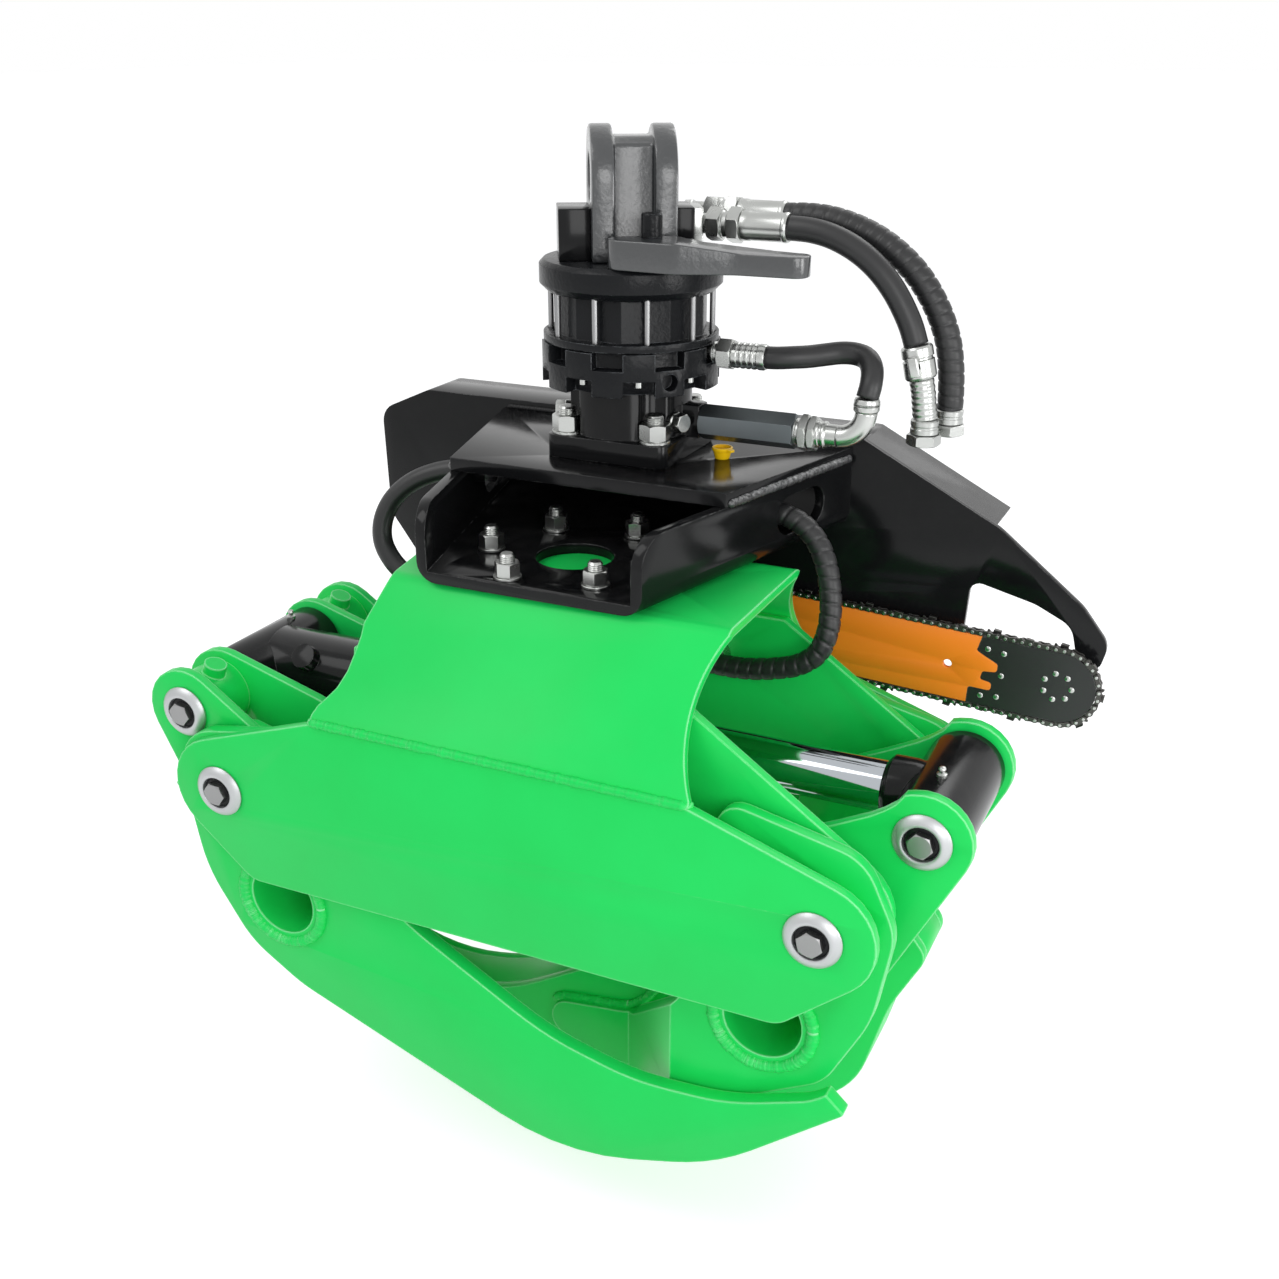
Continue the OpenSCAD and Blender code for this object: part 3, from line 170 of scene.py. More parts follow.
def onCircle(radius, degrees):
    a = math.radians(degrees)
    return radius * math.cos(a), radius * math.sin(a)


# A turned piece: profile of (radius, height) in millimetres, spun round Z
def turned(name, profile, steps=32, angle=30):
    points = [(r / 1000, 0, z / 1000) for r, z in profile]
    piece = newMesh(name, points, [(i, i + 1) for i in range(len(points) - 1)])
    with editing(piece):
        bpy.ops.mesh.spin(steps=steps, angle=2 * math.pi, center=(0, 0, 0), axis=(0, 0, 1))
        bpy.ops.mesh.select_all(action="SELECT")
        bpy.ops.mesh.remove_doubles(threshold=0.00001)
        bpy.ops.mesh.normals_make_consistent(inside=False)
    return smooth(piece, angle)


# A hexagonal piece with turned chamfers, standing on the XY plane
def hexPiece(name, acrossFlats, height, bothEnds=False):
    corner = acrossFlats / math.sqrt(3)
    deselect()
    bpy.ops.mesh.primitive_cylinder_add(vertices=6, radius=corner / 1000, depth=height / 1000,
                                        location=(0, 0, height / 2000))
    piece = bpy.context.object
    piece.name = name
    bpy.ops.object.transform_apply(location=True, rotation=True, scale=True)
    drop = (corner - acrossFlats / 2) * 0.62 + 0.2
    flat, wide = acrossFlats / 2 - 0.3, corner + 0.3
    tip = flat - (wide - flat) / drop  # the cutter runs 1 mm past each end, so no two faces share a plane
    profile = [(0, -1), (tip, -1), (wide, drop)] if bothEnds else [(0, -1), (corner + 1, -1)]
    profile += [(wide, height - drop), (tip, height + 1), (0, height + 1)]
    cut(piece, turned("cutter", profile, 36), "INTERSECT")
    return smooth(piece, 25)


# An outline whose corners are (x, y) or, rounded, (x, y, radius)
def rounded(corners, steps=5):
    line = []
    last = len(corners)
    for i, corner in enumerate(corners):
        b = Vector(corner[:2])
        r = corner[2] if len(corner) > 2 else 0
        if r <= 0:
            line.append(b)
            continue
        u = (Vector(corners[i - 1][:2]) - b).normalized()
        w = (Vector(corners[(i + 1) % last][:2]) - b).normalized()
        half = u.angle(w) / 2
        middle = b + (u + w).normalized() * r / math.sin(half)
        s = b + u * r / math.tan(half) - middle
        e = b + w * r / math.tan(half) - middle
        side = 1 if s.x * e.y - s.y * e.x > 0 else -1
        turn = side * (math.pi - 2 * half)
        for k in range(steps + 1):
            a = turn * k / steps
            line.append(middle + Vector((s.x * math.cos(a) - s.y * math.sin(a), s.x * math.sin(a) + s.y * math.cos(a))))
    return line


# A plate or block: outline in millimetres in X and Y, from z0 to z1
def extruded(name, outline, z0, z1, edge=0.0, segments=2):
    points = [(p[0] / 1000, p[1] / 1000, z0 / 1000) for p in outline]
    piece = newMesh(name, points, [], [list(range(len(points)))])
    with editing(piece):
        bpy.ops.mesh.extrude_region_move(TRANSFORM_OT_translate={"value": (0, 0, (z1 - z0) / 1000)})
        bpy.ops.mesh.select_all(action="SELECT")
        bpy.ops.mesh.normals_make_consistent(inside=False)
    if edge:
        bevel(piece, edge, segments)
    return smooth(piece, 35)


def rod(name, radius, start, end, sides=24):
    start, end = Vector(start), Vector(end)
    deselect()
    bpy.ops.mesh.primitive_cylinder_add(vertices=sides, radius=radius / 1000, depth=(end - start).length)
    piece = bpy.context.object
    piece.name = name
    piece.data.transform(aimed((start + end) / 2, end - start))
    return piece


# Smooth line through given points
def smoothRoute(points, pieceLength=0.004):
    pts = [Vector(p) for p in points]
    line = []
    for i in range(len(pts) - 1):
        p0 = pts[i - 1] if i > 0 else pts[0] * 2 - pts[1]
        p1, p2 = pts[i], pts[i + 1]
        p3 = pts[i + 2] if i + 2 < len(pts) else pts[-1] * 2 - pts[-2]
        count = max(2, round((p2 - p1).length / pieceLength))
        for k in range(count):
            t = k / count
            line.append(0.5 * ((2 * p1) + (p2 - p0) * t + (2 * p0 - 5 * p1 + 4 * p2 - p3) * t * t
                               + (3 * p1 - p0 - 3 * p2 + p3) * t ** 3))
    line.append(pts[-1])
    return line


def lineLength(line):
    return sum((line[i + 1] - line[i]).length for i in range(len(line) - 1))


# A tube along a line; shape(s, angle) gives the radius in metres; UV runs along and round it
def tube(name, line, shape, count=28):
    points, faces, along = [], [], [0]
    tangentAt = [(line[min(i + 1, len(line) - 1)] - line[max(i - 1, 0)]).normalized() for i in range(len(line))]
    side = tangentAt[0].orthogonal().normalized()
    for i, p in enumerate(line):
        if i:
            along.append(along[-1] + (line[i] - line[i - 1]).length)
        side = (side - tangentAt[i] * side.dot(tangentAt[i])).normalized()
        up = tangentAt[i].cross(side)
        for k in range(count):
            a = 2 * math.pi * k / count
            points.append(p + (side * math.cos(a) + up * math.sin(a)) * shape(along[i], a))
    for i in range(len(line) - 1):
        for k in range(count):
            a, b = i * count + k, i * count + (k + 1) % count
            faces.append((a, b, b + count, a + count))
    faces.append(list(range(count - 1, -1, -1)))
    faces.append([(len(line) - 1) * count + k for k in range(count)])
    piece = newMesh(name, points, [], faces)
    layer = piece.data.uv_layers.new(name="run")
    for poly in piece.data.polygons:
        spots = [(loop, piece.data.loops[loop].vertex_index) for loop in poly.loop_indices]
        wraps = any(v % count == count - 1 for _, v in spots)
        for loop, v in spots:
            layer.data[loop].uv = (along[v // count] * 10, 1 if wraps and v % count == 0 else v % count / count)
    piece.data.polygons.foreach_set("use_smooth", [True] * len(piece.data.polygons))
    return piece


def plainShape(radius):
    return lambda s, a: radius


def spiralShape(radius, pitch, height, edge=0.14):
    def shape(s, a):
        t = (s / pitch + a / (2 * math.pi)) % 1
        return radius + height * min(1, t / edge, (1 - t) / edge)
    return shape


print("helpers ready")
# Materials. Effects that several finishes share are node groups.

# A value that is a socket is linked, any other is set
def feed(tree, socket, value):
    if isinstance(value, bpy.types.NodeSocket):
        tree.links.new(value, socket)
    else:
        socket.default_value = value


def addNode(tree, kind, values=None, **settings):
    node = tree.nodes.new(kind)
    for key, value in settings.items():
        setattr(node, key, value)
    for key, value in (values or {}).items():
        feed(tree, node.inputs[key], value)
    return node


def mathNode(tree, operation, a, b, clamp=False):
    return addNode(tree, "ShaderNodeMath", {0: a, 1: b}, operation=operation, use_clamp=clamp).outputs[0]


def mixColour(tree, mask, a, b):
    a, b = [(*value, 1) if isinstance(value, tuple) else value for value in (a, b)]
    return addNode(tree, "ShaderNodeMix", {0: mask, 6: a, 7: b}, data_type="RGBA", blend_type="MIX").outputs[2]


def objectNoise(tree, scale, detail, roughness):
    coords = addNode(tree, "ShaderNodeTexCoord").outputs["Object"]
    return addNode(tree, "ShaderNodeTexNoise", {"Vector": coords, "Scale": scale, "Detail": detail,
                                                "Roughness": roughness}).outputs["Fac"]


def newGroup(name, inputs, outputs):
    group = bpy.data.node_groups.new(name, "ShaderNodeTree")
    for label, value in inputs.items():
        group.interface.new_socket(name=label, in_out="INPUT", socket_type="NodeSocketFloat").default_value = value
    for label in outputs:
        group.interface.new_socket(name=label, in_out="OUTPUT", socket_type="NodeSocketFloat")
    return group, group.nodes.new("NodeGroupInput").outputs, group.nodes.new("NodeGroupOutput").inputs


# Where a sharp edge has lost its paint; on green and black paint the pale edge colour is also a painted edge highlight
edgeWearAndHighlight, wearHighlightIn, wearHighlightOut = newGroup("edgeWearAndHighlight", {"Width": 0.002, "Scale": 60.0, "Amount": 0.5}, ["Mask"])
softNormal = addNode(edgeWearAndHighlight, "ShaderNodeBevel", {"Radius": wearHighlightIn["Width"]}, samples=4)
trueNormal = addNode(edgeWearAndHighlight, "ShaderNodeNewGeometry")
likeness = addNode(edgeWearAndHighlight, "ShaderNodeVectorMath", {0: softNormal.outputs["Normal"], 1: trueNormal.outputs["Normal"]},
                   operation="DOT_PRODUCT")
edgeBreakup = objectNoise(edgeWearAndHighlight, wearHighlightIn["Scale"], 5.0, 0.65)
edgeness = mathNode(edgeWearAndHighlight, "MULTIPLY", mathNode(edgeWearAndHighlight, "SUBTRACT", 1.0, likeness.outputs["Value"]), 9.0, True)
broken = mathNode(edgeWearAndHighlight, "MULTIPLY", edgeness, edgeBreakup)
level = mathNode(edgeWearAndHighlight, "SUBTRACT", mathNode(edgeWearAndHighlight, "ADD", broken, wearHighlightIn["Amount"]), 0.78)
feed(edgeWearAndHighlight, wearHighlightOut["Mask"], mathNode(edgeWearAndHighlight, "MULTIPLY", level, 9.0, True))

# Dust that settles on what faces up; on the box weld its near-white flecks are painted glints, partly scuffed metal
dustAndGlintFilm, dustGlintIn, dustGlintOut = newGroup("dustAndGlintFilm", {"Scale": 14.0, "Amount": 0.3}, ["Mask"])
facing = addNode(dustAndGlintFilm, "ShaderNodeNewGeometry")
split = addNode(dustAndGlintFilm, "ShaderNodeSeparateXYZ", {0: facing.outputs["Normal"]})
clouds = objectNoise(dustAndGlintFilm, dustGlintIn["Scale"], 8.0, 0.7)
upward = mathNode(dustAndGlintFilm, "ADD", mathNode(dustAndGlintFilm, "MULTIPLY", split.outputs["Z"], 0.75, True), 0.12)
patch = mathNode(dustAndGlintFilm, "MULTIPLY", mathNode(dustAndGlintFilm, "SUBTRACT", clouds, 0.42, True), 3.0, True)
upwardPatches = mathNode(dustAndGlintFilm, "MULTIPLY", upward, patch)
feed(dustAndGlintFilm, dustGlintOut["Mask"], mathNode(dustAndGlintFilm, "MULTIPLY", upwardPatches, dustGlintIn["Amount"], True))

# Fine relief: orange peel in paint, skin of a casting, pores in rubber
fineGrain, grainIn, grainOut = newGroup("fineGrain", {"Scale": 600.0, "Coarse": 0.0}, ["Height", "Tone"])
coords = addNode(fineGrain, "ShaderNodeTexCoord").outputs["Object"]
pebbleScale = mathNode(fineGrain, "MULTIPLY", grainIn["Scale"], 0.45)
pebbles = addNode(fineGrain, "ShaderNodeTexVoronoi", {"Vector": coords, "Scale": pebbleScale}, feature="SMOOTH_F1")
coarse = mathNode(fineGrain, "MULTIPLY", pebbles.outputs["Distance"], grainIn["Coarse"])
small = objectNoise(fineGrain, grainIn["Scale"], 3.0, 0.5)
feed(fineGrain, grainOut["Height"], mathNode(fineGrain, "ADD", small, coarse))
feed(fineGrain, grainOut["Tone"], objectNoise(fineGrain, 9.0, 4.0, 0.55))


# One finish: colour that drifts, grain, worn edges that also carry painted edge highlights, and dust that on the weld
# also paints glints, on a Principled shader
def finish(name, spec):
    material = bpy.data.materials.new(name)
    material.use_nodes = True
    tree = material.node_tree
    shader = tree.nodes["Principled BSDF"]
    for socket, key in (("Metallic", "metallic"), ("Coat Weight", "coat"), ("Coat Roughness", "coatRoughness"),
                        ("Specular IOR Level", "specular")):
        if key in spec:
            shader.inputs[socket].default_value = spec[key]
    grain = addNode(tree, "ShaderNodeGroup", {"Scale": spec["grainScale"], "Coarse": spec.get("coarse", 0.0)},
                    node_tree=fineGrain).outputs
    colour = mixColour(tree, grain["Tone"], spec["colour"], spec["drift"])
    roughLow, roughHigh = spec["roughness"]
    rough = mathNode(tree, "ADD", mathNode(tree, "MULTIPLY", grain["Tone"], roughHigh - roughLow), roughLow)
    if "dustAndGlints" in spec:
        dustAndGlints = addNode(tree, "ShaderNodeGroup", {"Scale": spec.get("dustGlintScale", 14.0), "Amount": spec["dustAndGlints"]},
                       node_tree=dustAndGlintFilm).outputs["Mask"]
        colour = mixColour(tree, dustAndGlints, colour, spec["dustGlintColour"])
        rough = mathNode(tree, "ADD", rough, mathNode(tree, "MULTIPLY", dustAndGlints, 0.5), True)
    if "wearAndPaintedHighlight" in spec:
        wearAndPaintedHighlight = addNode(tree, "ShaderNodeGroup", {"Width": spec.get("wearHighlightWidth", 0.002), "Scale": 60.0,
                                                 "Amount": spec["wearAndPaintedHighlight"]}, node_tree=edgeWearAndHighlight)
        colour = mixColour(tree, wearAndPaintedHighlight.outputs["Mask"], colour, spec["wearHighlightColour"])
    bump = addNode(tree, "ShaderNodeBump", {"Strength": spec["bump"], "Distance": spec.get("depth", 0.0003),
                                            "Height": grain["Height"]})
    if "roundEdge" in spec:
        soft = addNode(tree, "ShaderNodeBevel", {"Radius": spec["roundEdge"]}, samples=4)
        feed(tree, bump.inputs["Normal"], soft.outputs["Normal"])
    for key, value in (("Base Color", colour), ("Roughness", rough), ("Normal", bump.outputs["Normal"])):
        feed(tree, shader.inputs[key], value)
    return material


finishSpec = {
    # Green paint: the pale green along its edges is partly wear, partly a painted edge highlight
    "green_paint": {"colour": (0.010, 0.65, 0.100), "drift": (0.014, 0.75, 0.132), "roughness": (0.26, 0.40),
                    "specular": 0.22, "grainScale": 420.0, "bump": 0.10, "depth": 0.0004,
                    "roundEdge": 0.0015, "wearAndPaintedHighlight": 0.66, "wearHighlightWidth": 0.0034, "wearHighlightColour": (0.36, 0.95, 0.48),
                    "dustAndGlints": 0.14, "dustGlintColour": (0.07, 0.52, 0.12)},
    # Black paint: the grey along its edges is partly wear, partly a painted rim highlight
    "black_paint": {"colour": (0.0045, 0.0047, 0.0052), "drift": (0.0080, 0.0083, 0.0090), "roughness": (0.08, 0.20),
                    "specular": 0.20, "grainScale": 300.0, "bump": 0.10, "roundEdge": 0.0015,
                    "wearAndPaintedHighlight": 0.30, "wearHighlightColour": (0.13, 0.13, 0.13), "dustAndGlints": 0.12, "dustGlintScale": 40.0,
                    "dustGlintColour": (0.09, 0.086, 0.08)},
    "cast_paint": {"colour": (0.0055, 0.006, 0.0070), "drift": (0.0105, 0.0113, 0.0130), "roughness": (0.18, 0.34),
                   "specular": 0.16, "grainScale": 420.0, "coarse": 1.2, "bump": 0.34, "depth": 0.0007,
                   "roundEdge": 0.0016, "wearAndPaintedHighlight": 0.34, "wearHighlightColour": (0.16, 0.17, 0.18), "dustAndGlints": 0.12,
                   "dustGlintColour": (0.06, 0.06, 0.06)},
    "zinc_steel": {"colour": (0.56, 0.57, 0.55), "drift": (0.40, 0.41, 0.40), "roughness": (0.18, 0.36),
                   "metallic": 1.0, "grainScale": 900.0, "bump": 0.06, "roundEdge": 0.0006, "dustAndGlints": 0.16,
                   "dustGlintColour": (0.16, 0.15, 0.13)},
    "lug_paint": {"colour": (0.012, 0.0135, 0.015), "drift": (0.024, 0.027, 0.030), "roughness": (0.22, 0.40),
                  "specular": 0.8, "coat": 0.7, "coatRoughness": 0.14, "grainScale": 380.0, "coarse": 1.4, "bump": 0.42,
                  "depth": 0.0008, "roundEdge": 0.0018, "wearAndPaintedHighlight": 0.3, "wearHighlightColour": (0.22, 0.24, 0.25)},
    # Zinc darkened to paint the shade on the adaptor
    "zinc_painted_shade": {"colour": (0.17, 0.19, 0.20), "drift": (0.10, 0.115, 0.12), "roughness": (0.26, 0.44),
                  "metallic": 0.9, "grainScale": 900.0, "bump": 0.06, "roundEdge": 0.0006, "dustAndGlints": 0.16,
                  "dustGlintColour": (0.10, 0.10, 0.095)},
    "washer_zinc": {"colour": (0.55, 0.56, 0.57), "drift": (0.42, 0.43, 0.44), "roughness": (0.34, 0.5),
                    "metallic": 0.85, "grainScale": 700.0, "bump": 0.10, "dustAndGlints": 0.14,
                    "dustGlintColour": (0.30, 0.29, 0.27)},
    # Weld: the near-white flecks on what faces up are painted glints, partly scuffed bare metal
    "weld_scuffs_and_painted_glints": {"colour": (0.012, 0.012, 0.013), "drift": (0.03, 0.03, 0.032), "roughness": (0.22, 0.5),
                     "grainScale": 170.0, "coarse": 1.4, "bump": 0.8, "depth": 0.0012, "dustAndGlints": 1.0,
                     "dustGlintScale": 210.0, "dustGlintColour": (0.86, 0.87, 0.87)},
    "rod_chrome": {"colour": (0.50, 0.53, 0.56), "drift": (0.44, 0.47, 0.50), "roughness": (0.05, 0.09),
                   "metallic": 1.0, "grainScale": 1200.0, "bump": 0.01},
    "tube_steel": {"colour": (0.33, 0.33, 0.33), "drift": (0.24, 0.24, 0.245), "roughness": (0.28, 0.42),
                   "metallic": 1.0, "grainScale": 900.0, "bump": 0.08},
    "hose_rubber": {"colour": (0.0095, 0.0098, 0.0105), "drift": (0.018, 0.018, 0.019), "roughness": (0.32, 0.5),
                    "grainScale": 800.0, "bump": 0.16, "dustAndGlints": 0.22, "dustGlintColour": (0.075, 0.073, 0.07)},
    "orange_paint": {"colour": (1.0, 0.27, 0.012), "drift": (0.96, 0.22, 0.010), "roughness": (0.34, 0.5),
                     "grainScale": 700.0, "bump": 0.05, "roundEdge": 0.001, "dustAndGlints": 0.10,
                     "dustGlintColour": (0.45, 0.16, 0.05)},
    "nose_paint": {"colour": (0.010, 0.0105, 0.0115), "drift": (0.022, 0.022, 0.023), "roughness": (0.32, 0.46),
                   "grainScale": 700.0, "bump": 0.06, "roundEdge": 0.001, "wearAndPaintedHighlight": 0.30,
                   "wearHighlightColour": (0.16, 0.16, 0.16)},
    "chain_steel": {"colour": (0.13, 0.125, 0.12), "drift": (0.06, 0.058, 0.055), "roughness": (0.26, 0.48),
                    "metallic": 1.0, "grainScale": 900.0, "bump": 0.08},
    "yellow_cap": {"colour": (1.0, 0.66, 0.004), "drift": (0.95, 0.56, 0.004), "roughness": (0.3, 0.42),
                   "grainScale": 900.0, "bump": 0.08, "dustAndGlints": 0.10, "dustGlintColour": (0.55, 0.36, 0.08)},
}
finishes = {name: finish(name, spec) for name, spec in finishSpec.items()}
slotOf = {entry["node"]: entry["material_slot"] for entry in frame["record"]["subparts"]}
for node, piece in cadNodes.items():
    for slotEntry in piece.material_slots:
        slotEntry.material = finishes[slotOf[node]]
print("materials made:", len(finishes))


def dress(piece, slot, body, *replacing, look=None):
    piece.data.materials.clear()
    piece.data.materials.append(finishes[look or slot])
    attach(piece, body)
    if replacing:
        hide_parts(*replacing)
    return piece


# Hoses. The two supply hoses hang free from the rotator.
hoseSpec = {"supplyRadius": 0.013, "wrapRadius": 0.014, "wrapHeight": 0.0016, "wrapPitch": 0.0125,
            "cylinderRadius": 0.012, "cylinderPitch": 0.014, "tailRadius": 0.0124, "ribHeight": 0.0009,
            "ribPitch": 0.0065, "sleeveSink": 0.0012}
frontRoute = [(165, 42, 598), (187, 42, 597), (208, 42, 593), (229, 42, 585), (248, 42, 574), (265, 42, 560),
              (280, 42, 543), (292, 42, 525), (302, 42, 506), (309, 42, 487)]
tailRoute = [(317, 42, 452), (320, 42, 438), (322, 42, 424), (324, 42, 410)]
rearRoute = [(150, 74, 606), (175, 74, 607), (200, 74, 605), (225, 74, 599), (250, 74, 589), (273, 74, 575),
             (294, 74, 557), (311, 74, 536), (325, 74, 512), (335, 74, 486), (340, 74, 459), (342, 74, 432),
             (342, 74, 416)]
jumperRoute = [(272, 0, 436), (274, 4, 450), (271, 15, 463), (262, 26, 471), (248, 32, 474), (232, 31, 474),
               (216, 24, 472), (201, 14, 470.5), (187, 6, 470), (172, 1, 469), (160, 0, 468.5)]
rightRoute = [(170, 134, 301), (190, 134, 300), (211, 133, 292), (229, 130, 276), (242, 124, 255), (250, 118, 230),
              (254, 112, 205), (253, 106, 180), (244, 101, 157), (224, 97, 142), (198, 95, 134), (172, 94, 129),
              (146, 94, 127), (118, 98, 126)]
leftRoute = [(-182, 146, 300), (-214, 142, 301), (-250, 136, 296), (-284, 127, 282), (-309, 117, 260),
             (-320, 107, 234), (-318, 100, 208), (-303, 96, 186), (-279, 94, 168), (-250, 92, 154), (-219, 92, 144),
             (-190, 92, 138), (-164, 94, 135), (-140, 98, 134)]


def laid(point, route, pieceLength=0.004):
    return smoothRoute([point(*p) for p in route], pieceLength)


def tailShape(s, a):
    return hoseSpec["tailRadius"] + hoseSpec["ribHeight"] * abs(math.sin(s / hoseSpec["ribPitch"] * math.pi))


frontLine = laid(rotorPoint, frontRoute)
rearLine = laid(rotorPoint, rearRoute, 0.0015)
thinShape = plainShape(hoseSpec["cylinderRadius"])
wrapShape = spiralShape(hoseSpec["wrapRadius"] - hoseSpec["wrapHeight"], hoseSpec["wrapPitch"], hoseSpec["wrapHeight"])
sleeveShape = spiralShape(hoseSpec["cylinderRadius"] - hoseSpec["sleeveSink"], hoseSpec["cylinderPitch"],
                          hoseSpec["wrapHeight"])
supplyFront = dress(tube("supplyHoseFront", frontLine, plainShape(hoseSpec["supplyRadius"])), "hose_rubber",
                    "rotator_upper", "supply_hose_front")
supplyTail = dress(tube("supplyHoseTail", laid(rotorPoint, tailRoute, 0.0012), tailShape), "zinc_steel",
                   "rotator_upper", "supply_hose_tail")
supplyRear = dress(tube("supplyHoseRear", rearLine, wrapShape), "hose_rubber", "rotator_upper", "supply_hose_rear")
dress(tube("jumperHose", laid(rotorPoint, jumperRoute), thinShape), "hose_rubber", "grapple_frame", "jumper_hose")
dress(tube("cylinderHoseRight", laid(grapplePoint, rightRoute, 0.0015), sleeveShape), "hose_rubber", "grapple_frame",
      "cylinder_hoses")
dress(tube("cylinderHoseLeft", laid(grapplePoint, leftRoute), thinShape), "hose_rubber", "grapple_frame",
      "cylinder_hoses")
print("hoses laid:", round(lineLength(frontLine), 3), round(lineLength(rearLine), 3), "m hang free")


# Castings and plates: a merged copy of the solid gets real rounded edges and stands for it
bodyOf = {node: body for body, nodes in frame["record"]["behaviour"]["bodies"].items() for node in nodes}


def softened(node, name, width, segments=2, angle=32, shape=None):
    piece = newObject(name, cadNodes[node].data.copy())
    with editing(piece):
        bpy.ops.mesh.remove_doubles(threshold=0.00003)
        bpy.ops.mesh.dissolve_limited(angle_limit=math.radians(1.0), use_dissolve_boundaries=False)
    if shape:
        shape(piece)
    bevel(piece, width, segments, angle)
    smooth(piece, angle)
    return dress(piece, slotOf[node], bodyOf[node], node)


# The guard arm's top droops a little beyond its boss, as the casting does
armSpec = {"bossEnd": 96, "run": 60, "topAbove": 580, "drop": 0.009}


def droopArm(piece):
    for vertex in piece.data.vertices:
        beyond = vertex.co.x * 1000 - armSpec["bossEnd"]
        if beyond > 0 and vertex.co.z * 1000 + place["hangHeight"] > armSpec["topAbove"]:
            vertex.co.z -= armSpec["drop"] * min(1.0, beyond / armSpec["run"])


# Outline of a plate cut back along a line that the real plate follows
def cutBack(outline, near=220, far=-220):
    def shape(piece):
        tool = extruded("cutBackTool", outline, far, near)
        cut(piece, placed(tool, Matrix.Translation(grapplePoint(0, 0, 0)) @ Matrix.Rotation(math.radians(90), 4, "X")))
    return shape


# The tine's back stands a little outside the jaw plates
tineSpec = {"back": [Vector(p) for p in ((380, -62), (412, -100), (376, -170), (346, -280), (260, -358))], "reach": 17,
            "push": 0.013, "fadeFrom": -372, "fadeOver": 60}


def lineGap(spot, a, b):
    foot, t = geometry.intersect_point_line(spot, a, b)
    return (spot - foot.to_2d()).length if 0 <= t <= 1 else min((spot - a).length, (spot - b).length)


def pushTine(piece):
    back = tineSpec["back"]
    for vertex in piece.data.vertices:
        spot = Vector((vertex.co.x * 1000, vertex.co.z * 1000 + place["hangHeight"]))
        if min(lineGap(spot, a, b) for a, b in zip(back, back[1:])) < tineSpec["reach"]:
            fade = (spot.y - tineSpec["fadeFrom"]) / tineSpec["fadeOver"]
            vertex.co.x += tineSpec["push"] * max(0.0, min(1.0, fade))


# The hood's left end leans in towards its top and keeps a flared foot on the front slope
hoodSpec = {"through": (-170, -100, 250), "facing": (-1, -0.165, 0.487), "footFrom": 101, "footTo": 220,
            "foot": [(-186, 215), (-184.6, 196), (-185.5, 184), (-188.9, 162), (-195.9, 146), (-207.3, 133),
                     (-216.9, 123.4), (-218.4, 113), (-260, 113), (-260, 215)]}


def leanHood(piece):
    with editing(piece):
        bpy.ops.mesh.bisect(plane_co=grapplePoint(*hoodSpec["through"]), plane_no=hoodSpec["facing"], use_fill=True,
                            clear_outer=True)
    cutBack(hoodSpec["foot"], hoodSpec["footTo"], hoodSpec["footFrom"])(piece)


trimTip = cutBack([(330, -152), (396, -213), (470, -213), (470, -100), (330, -100)])
trimEar = cutBack([(401, 113.5), (393, 102), (381, 92), (367, 83), (334, 66), (300, 50), (240, 22), (200, 22),
                   (200, 220), (401, 220)])
shapeOf = {"hood": leanHood, "right_ear_plates": trimEar, "left_jaw_front": trimTip, "left_jaw_rear": trimTip,
           "right_tine_sides": pushTine, "right_tine_spine": pushTine}
softSpec = {"hanger_lug": 3.0, "port_blocks": 1.2, "rotator_flange": 1.2, "rotator_drum": 0.8, "rotor_ring": 1.4,
            "rotor_pedestal": 1.6, "box_top_plate": 1.2, "saw_box_shell": 1.2, "saw_guard": 1.0, "hood": 1.2,
            "front_outer_plate": 1.0, "rear_outer_plate": 1.0, "front_inner_plate": 1.0, "rear_inner_plate": 1.0,
            "left_jaw_front": 1.0, "left_jaw_rear": 1.0, "right_jaw_front": 1.0, "right_jaw_rear": 1.0,
            "left_ear_plates": 1.0, "right_ear_plates": 1.0, "right_tine_sides": 1.0, "right_tine_spine": 0.8,
            "saw_motor": 1.2}
softPieces = {node: softened(node, node + "_softened", width, shape=shapeOf.get(node))
              for node, width in softSpec.items()}
softPieces["hose_guard_arm"] = softened("hose_guard_arm", "guardArmCasting", 4.5, 3, 40, droopArm)
for node in ("hanger_lug", "hose_guard_arm"):
    softPieces[node].data.materials[0] = finishes["lug_paint"]
print("edges rounded on", len(softPieces), "pieces")


# Pin ends: a dished cover washer with a hexagon head sunk in it
pinSpec = {"washer": 30, "thickness": 8, "recess": 18.5, "floor": 3, "acrossFlats": 24, "head": 9.4, "pin": 20,
           "nutSeat": 128, "shank": 10}
rim, crown, well = pinSpec["washer"], pinSpec["thickness"], pinSpec["recess"]
coverShape = turned("pinCover", [(0, 0), (rim - 0.8, 0), (rim, 0.8), (rim, 2.2), (rim - 0.8, 3.4), (26.5, 5.6),
                                 (23.4, 7.5), (21.6, crown), (20.0, crown), (19.0, crown - 0.4), (well, 7.0),
                                 (well - 0.6, 3.4), (17.2, pinSpec["floor"]), (0, pinSpec["floor"])], 48, 24)
headShape = placed(hexPiece("pinHead", pinSpec["acrossFlats"], pinSpec["head"]), raised(pinSpec["floor"]))
# The recess ring is a dark ring that paints the shade in each cover's recess
recessShadeRing = turned("recessShadeRing", [(11, 2.8), (18.2, 2.8), (18.2, 3.5), (16.8, 4.3), (13.2, 4.3), (11, 4.3),
                                     (11, 2.8)], 40)


def pinEnds(name, spots, y, shapePiece):
    return [copied(shapePiece, name, aimed(grapplePoint(x, side * y, z), (0, side, 0), 11 * side + x * 0.07))
            for x, z in spots for side in (-1, 1)]


